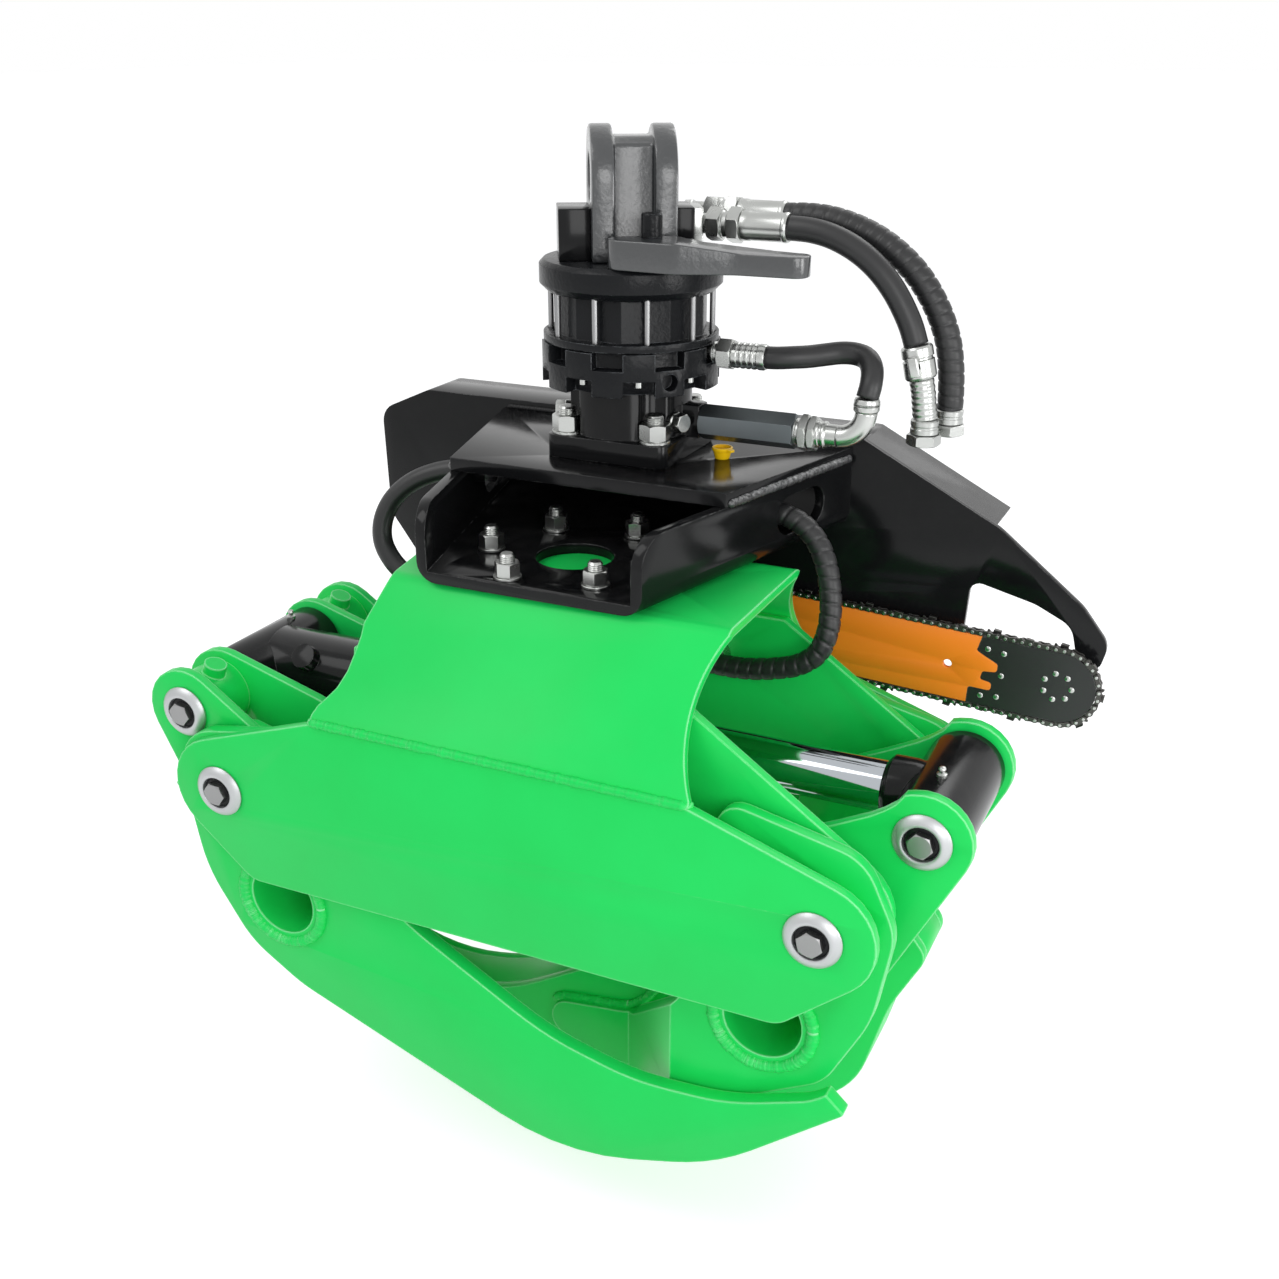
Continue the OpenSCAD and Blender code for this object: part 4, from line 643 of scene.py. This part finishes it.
innerNut = joined("innerNut", [turned("innerWasher", [(10.2, 0), (25, 0), (25, 4.4), (24.4, 5), (10.2, 5)], 36),
                               hexPiece("innerHex", 30, 14)])
pivots = [(-place["pivotX"], 0), (place["pivotX"], 0)]
pivotPieces = pinEnds("pivotEnd", pivots, place["halfWidth"], headShape)
for x, z in pivots:
    for side in (-1, 1):
        seat = grapplePoint(x, side * pinSpec["nutSeat"], z)
        pivotPieces.append(copied(innerNut, "pivotNut", aimed(seat, (0, -side, 0), 17 * side)))
        pivotPieces.append(rod("pivotShank", pinSpec["shank"], seat, grapplePoint(x, side * place["halfWidth"], z)))
dress(joined("pivotPinEnds", pivotPieces), "zinc_steel", "grapple_frame", "pivot_pin_bolts", look="tube_steel")
# Dark rings painting the shade in the pivot pin recesses
dress(joined("pivotShadeRings", pinEnds("pivotRecessShade", pivots, place["halfWidth"], recessShadeRing)), "cast_paint",
      "grapple_frame")
dress(joined("pivotCovers", pinEnds("pivotCover", pivots, place["halfWidth"], coverShape)), "zinc_steel",
      "grapple_frame", look="washer_zinc")
for x, y, body, node in ((-422, 162, "left_arm", "left_ear_pin"), (422, 95, "right_arm", "right_ear_pin")):
    spot = [(x, place["pinLift"])]
    earPieces = pinEnds("earEnd", spot, y, headShape)
    earPieces.append(rod("earPin", pinSpec["pin"], grapplePoint(x, -y, place["pinLift"]),
                         grapplePoint(x, y, place["pinLift"]), 40))
    dress(joined(node + "_dressed", earPieces), "zinc_steel", body, node, look="tube_steel")
    dress(joined(node + "_covers", pinEnds("earCover", spot, y, coverShape)), "zinc_steel", body, look="washer_zinc")
    # Dark rings painting the shade in the ear pin recesses
    dress(joined(node + "_recess_shade", pinEnds("earRecessShade", spot, y, recessShadeRing)), "cast_paint", body)
removed(coverShape, headShape, recessShadeRing, innerNut)


# Studs, nuts and washers of the pedestal and the box floor
def stud(name, diameter, height, nutFlats, nutHeight, washerDiameter, washerHeight):
    r, w = diameter / 2, washerDiameter / 2
    washer = turned(name + "Washer", [(r, 0), (w - 0.4, 0), (w, 0.4), (w, washerHeight - 0.4),
                                      (w - 0.4, washerHeight), (r, washerHeight)])
    nut = placed(hexPiece(name + "Nut", nutFlats, nutHeight, True), raised(washerHeight))
    profile = [(0, washerHeight), (r - 0.9, washerHeight)]
    z = washerHeight + nutHeight - 1
    while z < height - 2:
        profile += [(r - 0.9, z), (r, z + 0.9), (r, z + 1.2), (r - 0.9, z + 2.1)]
        z += 2.1
    thread = turned(name + "Thread", profile + [(r - 1.8, height), (0, height)], 20, 20)
    return joined(name, [washer, nut, thread])


pedestalSpec = {"circle": 75, "headTop": 337, "count": 4}
pedestalStud = stud("pedestalStud", 20, 30, 30, 18, 35, 3)
underHead = hexPiece("underHead", 30, 12.5)
pedestalPieces = []
for k in range(pedestalSpec["count"]):
    x, y = onCircle(pedestalSpec["circle"], 45 + 90 * k)
    head = rotorPoint(x, y, pedestalSpec["headTop"])
    seat = Matrix.Translation(rotorPoint(x, y, place["flangeTop"])) @ Matrix.Rotation(0.4 + k * 1.3, 4, "Z")
    pedestalPieces += [copied(pedestalStud, "studPlaced", seat),
                       copied(underHead, "underHeadPlaced", aimed(head, (0, 0, -1), 20 * k)),
                       rod("pedestalShank", 10, head, rotorPoint(x, y, place["flangeTop"] + 3), 20)]
dress(joined("pedestalStuds", pedestalPieces), "zinc_steel", "grapple_frame", "pedestal_bolts")

floorSpec = {"circle": 95, "seat": 267, "count": 6}
floorStud = stud("floorStud", 16, 27, 24, 15, 30, 3)
floorPieces = []
for k in range(floorSpec["count"]):
    x, y = onCircle(floorSpec["circle"], 10 + 60 * k)
    seat = Matrix.Translation(grapplePoint(x, y, floorSpec["seat"])) @ Matrix.Rotation(k * 0.7, 4, "Z")
    floorPieces += [copied(floorStud, "studPlaced", seat),
                    rod("floorShank", 8, grapplePoint(x, y, 245), grapplePoint(x, y, floorSpec["seat"] + 3), 20)]
dress(joined("floorStuds", floorPieces), "zinc_steel", "grapple_frame", "floor_bolts")

tieSpec = {"circle": 89.2, "radius": 3.1, "top": 545, "count": 10}
tiePieces = []
for k in range(tieSpec["count"]):
    x, y = onCircle(tieSpec["circle"], 36 * (k + 0.5))
    tiePieces.append(rod("tieRod", tieSpec["radius"], rotorPoint(x, y, place["drumFoot"]),
                         rotorPoint(x, y, tieSpec["top"]), 16))
dress(joined("tieRods", tiePieces), "tube_steel", "rotator_upper", "tie_bolts")

# Plugs on the pedestal's block and the cap screw that holds the guard arm
plugSpec = {"reach": 144 / 2 - 4.2, "height": 395, "angles": (-22, 202)}
plugShape = joined("plugShape", [turned("plugSeat", [(0, 0.5), (11, 0.5), (11, 5.6), (10.2, 6.5), (0, 6.5)], 28),
                                 hexPiece("plugHex", 19, 17)])
plugs = []
for angle in plugSpec["angles"]:
    seat = rotorPoint(*onCircle(plugSpec["reach"], angle), plugSpec["height"])
    plugs.append(copied(plugShape, "plugPlaced", aimed(seat, (*onCircle(1, angle), 0), angle)))
dress(joined("pedestalPlugs", plugs), "zinc_steel", "grapple_frame", "pedestal_plugs")
removed(pedestalStud, underHead, floorStud, plugShape)

capScrew = turned("guardScrew", [(0, 0), (11, 0), (11, 22.6), (10, 24), (6.4, 24), (5.6, 23.2), (5.6, 12), (0, 10)])
cut(capScrew, rod("screwSocket", 5.6, (0, 0, 0.012), (0, 0, 0.03), 6))
placed(capScrew, Matrix.Translation(rotorPoint(50, -56, 594)))
shank = rod("screwShank", 7, rotorPoint(50, -56, 564), rotorPoint(50, -56, 596), 20)
dress(joined("guardArmScrew", [capScrew, shank]), "cast_paint", "rotator_upper", "guard_arm_bolt")
print("fasteners made")

# Cap screws seen in the ring's lower slots
ringSpec = {"slots": 9, "roof": 449, "circle": 88.5}
slotScrew = turned("slotScrew", [(0, 0), (0.1, 0), (4.2, 0.2), (4.6, 0.6), (4.6, 8.2), (4.2, 8.6), (2.6, 8.8),
                                 (2.4, 5.0), (0, 5.0)], 18)
ringScrews = []
for k in range(ringSpec["slots"]):
    x, y = onCircle(ringSpec["circle"], 360 * (k + 0.5) / ringSpec["slots"])
    ringScrews.append(copied(slotScrew, "ringScrew", aimed(rotorPoint(x, y, ringSpec["roof"] + 0.4), (0, 0, -1))))
dress(joined("ringScrews", ringScrews), "zinc_steel", "grapple_frame")


# Jaw cylinder: chromed rod, black eye with its grease nipple, gland with a spanner ring
cylinderSpec = {"eye": 42, "bore": 20.05, "eyeHalf": 80, "pinX": 422, "nippleZ": 109.6, "holes": 6}


def alongX(piece, x):
    return placed(piece, aimed(grapplePoint(x, 0, place["pinLift"]), (1, 0, 0)))


chromeRod = alongX(turned("chromeRod", [(0, 0), (17, 0), (18, 1), (18, 45), (27, 46), (27.5, 47), (27.5, 437),
                                        (0, 437)], 56, 25), -78)
dress(chromeRod, "rod_chrome", "cylinder_rod_body", "cylinder_rod")
eyeCollar = alongX(turned("eyeCollar", [(0, 0), (27.6, 0), (29, 0.3), (34.5, 5), (35.5, 7), (35.5, 30), (34, 40),
                                        (0, 40)], 56, 25), 358)

# The eye lies across the grapple
bore, eye, half = cylinderSpec["bore"], cylinderSpec["eye"], cylinderSpec["eyeHalf"]
rightEye = turned("rightEye", [(bore, -half + 1.5), (bore + 1.5, -half), (eye - 2.5, -half), (eye, -half + 2.5),
                               (eye, half - 2.5), (eye - 2.5, half), (bore + 1.5, half), (bore, half - 1.5),
                               (bore, -half + 1.5)], 64, 25)
placed(rightEye, aimed(grapplePoint(cylinderSpec["pinX"], 0, place["pinLift"]), (0, 1, 0)))
dress(joined("rodEye", [rightEye, eyeCollar]), "black_paint", "cylinder_rod_body", "cylinder_rod")
nippleShape = turned("nippleShape", [(0, 0), (5.5, 0), (5.5, 3.5), (4, 4.2), (3, 4.4), (3, 7), (4, 8.4), (3.4, 10.4),
                                     (1.4, 11.4), (0, 11.4)], 16)
for name, x, y, body in (("rightNipple", cylinderSpec["pinX"], -34, "cylinder_rod_body"),
                         ("barrelNipple", -cylinderSpec["pinX"], 40, "cylinder_barrel_body")):
    nipple = copied(nippleShape, name, aimed(grapplePoint(x, y, cylinderSpec["nippleZ"]), (0, 0, 1)))
    dress(nipple, "zinc_steel", body)
removed(slotScrew, nippleShape)

softened("cylinder_barrel", "barrelCasting", 1.2)
gland = alongX(turned("glandNut", [(27.8, -14), (48, -14), (48.5, -13.4), (48.5, -8.6), (47, -8), (47, -6),
                                   (48.5, -5.4), (48.5, 3), (46.5, 6), (31, 6), (29.4, 4.4), (28.6, 4.4), (28.2, 6.0),
                                   (27.8, 6.0), (27.8, -14)], 64, 25), 58)
holes = []
for k in range(cylinderSpec["holes"]):
    (y0, z0), (y1, z1) = onCircle(52, 60 * k + 20), onCircle(43, 60 * k + 20)
    holes.append(rod("spannerHole", 4, grapplePoint(61, y0, place["pinLift"] + z0),
                     grapplePoint(61, y1, place["pinLift"] + z1), 12))
cut(gland, joined("spannerHoles", holes))
dress(smooth(gland, 25), "black_paint", "cylinder_barrel_body", "cylinder_gland")
print("cylinder dressed")


# Weld beads: a ripple of overlapping scales along a path, laid on the corner that it fills
def weldBead(name, points, radius, pitch, seedValue, closed=False):
    line = []
    pts = [Vector(p) for p in points]
    if closed:
        pts = pts + pts[:2]  # the run ends over its own start
    for i in range(len(pts) - 1):
        count = max(1, round((pts[i + 1] - pts[i]).length / (pitch / 4000)))
        line += [pts[i].lerp(pts[i + 1], k / count) for k in range(count)]
    line.append(pts[-1])
    rng = random.Random(seedValue)
    jitter = [rng.uniform(-1, 1) for _ in range(4000)]
    total = lineLength(line)

    def shape(s, a):
        scale = (s / (pitch / 1000)) % 1
        k = int(s / (pitch / 1000))
        swell = 0.86 + 0.2 * math.sqrt(max(0.0, 1 - (2 * scale - 1) ** 2)) + 0.09 * jitter[k % 4000]
        ends = min(1.0, 0.25 + s / 0.006, 0.25 + (total - s) / 0.006)
        return radius / 1000 * swell * ends
    return tube(name, line, shape, 9)


weldSpec = {"hoodSeam": 5.2, "hoodEnd": 4.0, "noseTop": 5.4, "noseFoot": 4.4, "boxSeam": 4.6, "guardSeam": 4.2,
            "tubeRadius": 54, "tubeHeight": -136, "hoodHalf": 219, "noseHalf": 43}
hoodHalf = weldSpec["hoodHalf"]
frameWelds = []
for side in (-1, 1):
    frameWelds.append(weldBead("hoodSeam", [grapplePoint(x, side * 198.5, 110.6) for x in (-hoodHalf, hoodHalf)],
                               weldSpec["hoodSeam"], 5.5, 11 + side))
    for x, seedValue in ((-hoodHalf, 5), (hoodHalf, 7)):
        ends = [grapplePoint(x, side * 186, 109), grapplePoint(x, side * 199, 109.6)]
        frameWelds.append(weldBead("hoodEndSeam", ends, weldSpec["hoodEnd"], 4.5, seedValue))
dress(joined("frameWelds", frameWelds), "green_paint", "grapple_frame")

leftWelds, rightWelds = [], []
tubeCircle = [onCircle(weldSpec["tubeRadius"], 7.5 * k) for k in range(48)]
noseTop = [(-16, -285), (-8, -277), (4, -273.5), (30, -270), (60, -266.5), (84, -262), (102, -249), (124, -222)]
noseFoot = [(90, -336), (60, -336), (24, -334.5), (6, -328)]
for side in (-1, 1):
    for face, x, group, bead in ((186, -290, leftWelds, 7.0), (168, -290, leftWelds, 5.0),
                                 (164, 290, rightWelds, 7.0), (150, 290, rightWelds, 5.0)):
        circle = [grapplePoint(x + dx, side * (face - 1.5), weldSpec["tubeHeight"] + dz) for dx, dz in tubeCircle]
        group.append(weldBead("tubeRing", circle, bead, 4.6, face, True))
for side in (-1, 1):
    for key, route, lift, pitch, seedValue in (("noseTop", noseTop, 1.5, 5.5, 21),
                                               ("noseFoot", noseFoot, -1.5, 5.0, 31)):
        points = [grapplePoint(x, side * weldSpec["noseHalf"], z + lift) for x, z in route]
        rightWelds.append(weldBead("noseWeld", points, weldSpec[key], pitch, seedValue + side))
dress(joined("leftTubeWelds", leftWelds), "green_paint", "left_arm")
dress(joined("rightTubeWelds", rightWelds), "green_paint", "right_arm")


# Half the saw box's width where its sides flare towards the back
def boxHalf(y):
    return 130 + (y + 110) * math.tan(math.radians(15))


# The box seam welds carry painted glints as near-white flecks on top
boxWelds = [weldBead("boxSeam", [grapplePoint(side * (boxHalf(y) + 0.4), y, 340) for y in range(24, 250, 25)],
                     weldSpec["boxSeam"], 5.2, 41 + side) for side in (-1, 1)]
dress(joined("boxWelds", boxWelds), "black_paint", "grapple_frame", look="weld_scuffs_and_painted_glints")
guardHalf = boxHalf(252) - 4
guardWeld = weldBead("guardWelds", [grapplePoint(x, 250.5, 353) for x in (-guardHalf, guardHalf)],
                     weldSpec["guardSeam"], 5.0, 51)
dress(guardWeld, "black_paint", "grapple_frame")
print("welds laid")


# Bar: rivets in the nose, the body's softened copy
barPlace = Matrix.Translation(grapplePoint(-260, 236, 150)) @ Matrix.Rotation(math.radians(3.2), 4, "Y")
rivetShape = turned("rivetShape", [(0, 0), (3.4, 0), (3.4, 0.35), (2.6, 0.9), (0, 1.1)], 16, 40)
noseCircle = [onCircle(16, a) for a in range(0, 360, 52)]
spots = [(663.4, 28.4), (681.9, 26.6), (682.5, -0.8), (662.5, -29.9), (680.7, -27.7)]
spots += [(745.4 + x, 1 + z) for x, z in noseCircle]
rivets = []
for side in (-1, 1):
    for x, z in spots:
        seat = barPlace @ aimed((x / 1000, side * 0.003, z / 1000), (0, side, 0))
        rivets.append(copied(rivetShape, "rivetPlaced", seat))
dress(joined("noseRivets", rivets), "zinc_steel", "saw_bar")
removed(rivetShape)
softened("bar_body", "barBodyDressed", 0.5, 2, 40)


# Chain: straps, drive links and cutters set round the bar on one belt line
chainSpec = {"lift": 3.4, "links": 184}
wheels = [(0, 0, 27), (84, -22, 20), (746, 0, 42), (84, 22, 20)]


def beltLine(circles, grow, step=3.0):
    normals = []
    for i, (x, z, r) in enumerate(circles):
        nx, nz, nr = circles[(i + 1) % len(circles)]
        way = Vector((nx - x, nz - z))
        lean = math.asin((r - nr) / way.length)
        way.normalize()
        normals.append(Vector((way.y, -way.x)) * math.cos(lean) + way * math.sin(lean))
    line = []
    for i, (x, z, r) in enumerate(circles):
        a0 = math.atan2(normals[i - 1].y, normals[i - 1].x)
        a1 = math.atan2(normals[i].y, normals[i].x)
        while a1 < a0:
            a1 += 2 * math.pi
        count = max(2, int((r + grow) * (a1 - a0) / step))
        for k in range(count + 1):
            a = a0 + (a1 - a0) * k / count
            line.append(Vector((x + (r + grow) * math.cos(a), z + (r + grow) * math.sin(a))))
    return line + [line[0]]


chainLine = beltLine(wheels, chainSpec["lift"])
reach = [0.0]
for i in range(len(chainLine) - 1):
    reach.append(reach[-1] + (chainLine[i + 1] - chainLine[i]).length)


def onChain(s):
    s = s % reach[-1]
    lo = bisect_right(reach, s) - 1
    return chainLine[lo].lerp(chainLine[lo + 1], (s - reach[lo]) / (reach[lo + 1] - reach[lo]))


chainPitch = reach[-1] / chainSpec["links"]


def linkPlate(name, outline, y0, y1, edge=0.3):
    return placed(extruded(name, outline, y0, y1, edge, 1), Matrix.Rotation(math.radians(90), 4, "X"))


def figureEight(r, waist, span):
    line = [onCircle(r, a) for a in range(90, 271, 45)] + [(span / 2, -waist)]
    line += [(span + x, z) for x, z in (onCircle(r, a) for a in range(-90, 91, 45))]
    return line + [(span / 2, waist)]


strapShape = linkPlate("strapShape", figureEight(3.4, 2.5, chainPitch), 1.9, 4.1)
strapTwin = copied(strapShape, "strapTwin", Matrix.Translation((0, 0.0060, 0)))
driveShape = linkPlate("driveShape", figureEight(3.1, 2.4, chainPitch), -1.7, 1.7, 0.2)
rivetShape = turned("chainRivet", [(0, -5.0), (1.7, -5.0), (2.2, -4.2), (2.2, 4.2), (1.7, 5.0), (0, 5.0)], 9, 40)
placed(rivetShape, Matrix.Rotation(math.radians(90), 4, "X"))
p = chainPitch
cutterSide = linkPlate("cutterSide", [(-3.4, 0), (-2.4, -3.0), (p + 2.4, -3.0), (p + 3.5, 0), (p + 3.2, 4.6),
                                      (p + 1.4, 4.8), (p - 1.0, 2.4), (p - 3.2, 2.3), (p - 3.8, 5.4), (-3.0, 4.6)],
                       1.9, 4.1)
cutterTop = extruded("cutterTop", [(-3.0, -5.6), (p - 3.6, -6.2), (p - 3.9, -0.6), (-3.0, -1.4)], 4.4, 5.6, 0.25, 1)
placed(cutterTop, Matrix.Rotation(math.radians(-5), 4, "Y"))
cutterFront = joined("cutterFront", [cutterSide, cutterTop])
cutterBack = copied(cutterFront, "cutterBack", Matrix.Scale(-1, 4, (0, 1, 0)))
with editing(cutterBack):
    bpy.ops.mesh.normals_make_consistent(inside=False)
linkPieces, chainRivets = [], []
for k in range(chainSpec["links"]):
    a, b = onChain(k * chainPitch), onChain((k + 1) * chainPitch)
    way = (b - a).normalized()
    seat = Matrix(((way.x, 0, way.y, a.x / 1000), (0, 1, 0, 0), (way.y, 0, -way.x, a.y / 1000), (0, 0, 0, 1)))
    seat.col[1] = (*seat.col[2].to_3d().cross(seat.col[0].to_3d()), 0)
    seat = barPlace @ seat
    chainRivets.append(copied(rivetShape, "rivetAt", seat))
    if k % 2:
        linkPieces.append(copied(driveShape, "driveAt", seat))
    elif k % 8 == 0:
        linkPieces += [copied(cutterFront, "cutterAt", seat), copied(strapTwin, "strapAt", seat)]
    elif k % 8 == 4:
        linkPieces += [copied(cutterBack, "cutterAt", seat), copied(strapShape, "strapAt", seat)]
    else:
        linkPieces += [copied(strapShape, "strapAt", seat), copied(strapTwin, "strapAt", seat)]
dress(joined("chainLinks", linkPieces), "chain_steel", "saw_bar", "saw_chain")
dress(joined("chainRivets", chainRivets), "chain_steel", "saw_bar", look="zinc_steel")
removed(strapShape, strapTwin, driveShape, rivetShape, cutterFront, cutterBack)
print("chain laid:", chainSpec["links"], "links")


# Hydraulic fittings: each step is a turned profile, or a hexagon's width, foot and top
def fitting(name, steps):
    pieces = []
    for step in steps:
        if isinstance(step, list):
            pieces.append(turned(name + "Turn", step, 36, 28))
        else:
            acrossFlats, foot, top = step
            pieces.append(placed(hexPiece(name + "Hex", acrossFlats, top - foot, True), raised(foot)))
    return joined(name, pieces)


# A short swaged ferrule, a long sleeve and a grooved neck, as profiles
def ferrule(r, z0, z1, hose):
    line = [(0, z0), (r - 1.4, z0), (r - 0.2, z0 + 1.2), (r, z0 + 3)]
    ribs = 4
    span = (z1 - z0 - 12) / ribs
    for k in range(ribs):
        z = z0 + 6 + k * span
        line += [(r, z), (r - 0.7, z + 1.0), (r - 0.7, z + span * 0.55), (r, z + span * 0.55 + 1.0)]
    return line + [(r, z1 - 3), (r - 1.2, z1 - 0.2), (hose + 0.2, z1), (0, z1)]


def sleeve(r, z0, z1, hose):
    return [(0, z0), (r - 1.4, z0), (r - 0.2, z0 + 1.2), (r, z0 + 3), (r, z0 + 9), (r - 0.7, z0 + 10.4),
            (r - 0.7, z1 - 6), (r, z1 - 4.8), (r, z1 - 2.4), (r - 1.2, z1 - 0.2), (hose + 0.2, z1), (0, z1)]


def neck(r, z0, z1):
    return [(0, z0), (r, z0), (r, z0 + 1.4), (r - 1.2, z0 + 2.4), (r - 1.2, z1 - 2.2), (r, z1 - 1.4), (r, z1), (0, z1)]


def supplyFitting(name, foot, top, hose):
    return fitting(name, [neck(12, foot, 3), (32, 2, 18), neck(15, 17.5, 26.5), (34, 26, 40),
                          sleeve(16, 40, top, hose)])


frontFitting = placed(supplyFitting("frontFitting", -16, 93, 13), aimed(rotorPoint(72, 42, 598), (1, 0, 0), 8))
rearFitting = placed(supplyFitting("rearFitting", -18, 94, 14), aimed(rotorPoint(56, 74, 606), (1, 0, 0), 23))
manifold = extruded("manifold", [(65, -10), (77, -10), (77, 66), (65, 66)], 568, 616, 1.6)
placed(manifold, Matrix.Rotation(math.radians(30), 4, "Z") @ raised(-place["hangHeight"]))
dress(joined("supplyFittings", [frontFitting, rearFitting, manifold]), "zinc_steel", "rotator_upper", "supply_fittings")

couplingWay = Vector((8, 0, -35)).normalized()
couplingLength = math.hypot(8, 35)
coupling = turned("couplingBody", [(0, 0), (13, 0), (15.6, 0.8), (17, 3), (17, 12), (15.4, 13), (15.4, 15), (17, 16),
                                   (17, couplingLength - 3), (15.2, couplingLength - 0.6), (0, couplingLength)], 40, 28)
tab = extruded("couplingTab", rounded([(12, -6), (24, -6, 3), (24, 6, 3), (12, 6)]), 10, 30, 0.8)
cut(tab, rod("tabHole", 3, (0.0195, -0.02, 0.02), (0.0195, 0.02, 0.02), 16))
coupling = joined("couplingPiece", [coupling, tab])
placed(coupling, aimed(rotorPoint(309, 42, 487), couplingWay) @ Matrix.Rotation(math.radians(180), 4, "Z"))
dress(coupling, "zinc_steel", "rotator_upper", "hose_coupling")
endShape = fitting("endShape", [[(0, 0), (13.4, 0), (15, 1.4), (15, 6), (14.2, 7), (14.2, 9), (15, 10), (15, 15),
                                 (0, 16)], (32, 16, 28)])
frontEnd = copied(endShape, "frontEnd", aimed(rotorPoint(324, 42, 410), (0, 0, -1), 10))
rearEnd = copied(endShape, "rearEnd", aimed(rotorPoint(342, 74, 416), (0, 0, -1), 40))
removed(endShape)
for hoseEnd in (frontEnd, rearEnd):
    dress(hoseEnd, "zinc_steel", "rotator_upper", "hose_end_fittings")

adaptor = placed(hexPiece("adaptor", 34, 109, True), aimed(rotorPoint(87, 0, 392), (1, 0, 0)))
swivel = fitting("swivel", [neck(15, 0, 6.5), (36, 6, 15), neck(14, 14.5, 17), (34, 16, 24),
                            [(0, 23), (14.6, 24), (14.6, 27), (13.4, 28), (13.4, 30), (14.6, 31), (14.6, 33),
                             (12.2, 35), (12, 46), (0, 46)]])
placed(swivel, aimed(rotorPoint(196, 0, 392), (1, 0, 0), 5))
elbowTurn = [onCircle(30, a) for a in range(0, 91, 5)]
elbow = tube("elbow", [rotorPoint(242 + z, 0, 422 - x) for x, z in elbowTurn], plainShape(0.012))
collar = placed(turned("elbowCollar", ferrule(14, 0, 14, 12), 36, 28), Matrix.Translation(rotorPoint(272, 0, 422)))
sideFitting = fitting("sideFitting", [neck(9, 0, 20), neck(12.5, 19.5, 26.5), (30, 26, 42), ferrule(14, 42, 80, 12)])
placed(sideFitting, aimed(rotorPoint(80, 0, 468.5), (1, 0, 0), 12))
dress(joined("jumperFittings", [swivel, elbow, collar, sideFitting]), "zinc_steel", "grapple_frame", "jumper_fittings")
# The adaptor's darker zinc paints the shade it hangs in
dress(adaptor, "zinc_steel", "grapple_frame", "jumper_fittings", look="zinc_painted_shade")

cap = turned("capCup", [(0, 0), (7.6, 0), (8.2, 0.6), (10.4, 9), (11.2, 9.4), (11.5, 10), (11.5, 12.6), (11, 13),
                        (9.8, 13), (9.4, 12.6), (9.2, 9.8), (8.6, 9.4), (0, 9.2)], 36, 28)
capTab = extruded("capTab", rounded([(10, -4), (17, -3, 2), (17, 3, 2), (10, 4)]), 9.6, 12.4, 0.6)
capSeat = grapplePoint(110, 145, place["boxTop"])
yellowCap = placed(joined("breatherCap", [cap, capTab]),
                   Matrix.Translation(capSeat) @ Matrix.Rotation(math.radians(-25), 4, "Z"))
capFoot = rod("capFoot", 6, grapplePoint(110, 145, 342), grapplePoint(110, 145, 353), 20)
dress(joined("breatherCapPiece", [yellowCap, capFoot]), "yellow_cap", "grapple_frame", "breather_cap")
print("fittings made")


# Floor, daylight and soft lamps
stageSpec = {"floorHeight": -1.1, "floorSize": 60.0, "floorTone": 0.78, "floorLift": 0.56, "worldTone": 0.56,
             "backTone": 1.0, "daylight": (0.97, 0.985, 1.0), "target": (0, 0, -0.45)}


# What is looked at directly or in a reflection shows the second shader, all else the first
def mixByRay(tree, lit, seen, target):
    rays = addNode(tree, "ShaderNodeLightPath").outputs
    looked = mathNode(tree, "MAXIMUM", mathNode(tree, "MAXIMUM", rays["Is Camera Ray"], rays["Is Glossy Ray"]),
                      rays["Is Transmission Ray"])
    mixed = addNode(tree, "ShaderNodeMixShader", {0: looked, 1: lit.outputs[0], 2: seen.outputs[0]})
    feed(tree, tree.nodes[target].inputs["Surface"], mixed.outputs[0])


deselect()
bpy.ops.mesh.primitive_plane_add(size=stageSpec["floorSize"], location=(0, 12, stageSpec["floorHeight"]))
floor = bpy.context.object
floor.name = "floor"
floorMaterial = bpy.data.materials.new("paleFloor")
floorMaterial.use_nodes = True
stageTree = floorMaterial.node_tree
floorShader = stageTree.nodes["Principled BSDF"]
for socket, value in (("Roughness", 0.7), ("Specular IOR Level", 0.2),
                      ("Base Color", (stageSpec["floorTone"],) * 3 + (1,))):
    floorShader.inputs[socket].default_value = value
# The glow lifts the floor to the backdrop's white
paper = addNode(stageTree, "ShaderNodeEmission", {"Strength": stageSpec["floorLift"]})
lifted = addNode(stageTree, "ShaderNodeAddShader", {0: floorShader.outputs[0], 1: paper.outputs[0]})
mixByRay(stageTree, floorShader, lifted, "Material Output")
floor.data.materials.append(floorMaterial)

world = bpy.data.worlds.new("studio")
bpy.context.scene.world = world
world.use_nodes = True
air = world.node_tree
daylight = air.nodes["Background"]
daylight.inputs["Color"].default_value = (*stageSpec["daylight"], 1)
daylight.inputs["Strength"].default_value = stageSpec["worldTone"]
backdrop = addNode(air, "ShaderNodeBackground", {"Color": (stageSpec["backTone"],) * 3 + (1,), "Strength": 1.0})
mixByRay(air, daylight, backdrop, "World Output")

lampSpec = {"key": ((-1.9, -2.2, 2.9), 2.4, 50.0), "fill": ((2.0, -2.5, 0.35), 1.6, 29.0),
            "rim": ((0.8, 2.8, 2.2), 2.0, 30.0), "side": ((2.5, -0.5, -0.15), 0.9, 16.0)}
for lampName, (position, size, power) in lampSpec.items():
    lampData = bpy.data.lights.new(lampName, "AREA")
    lampData.size = size
    lampData.energy = power
    lamp = newObject(lampName, lampData)
    lamp.location = position
    lamp.rotation_euler = (Vector(stageSpec["target"]) - Vector(position)).to_track_quat("-Z", "Y").to_euler()
bpy.context.scene.view_settings.view_transform = "Standard"
print("floor, world and lamps set")
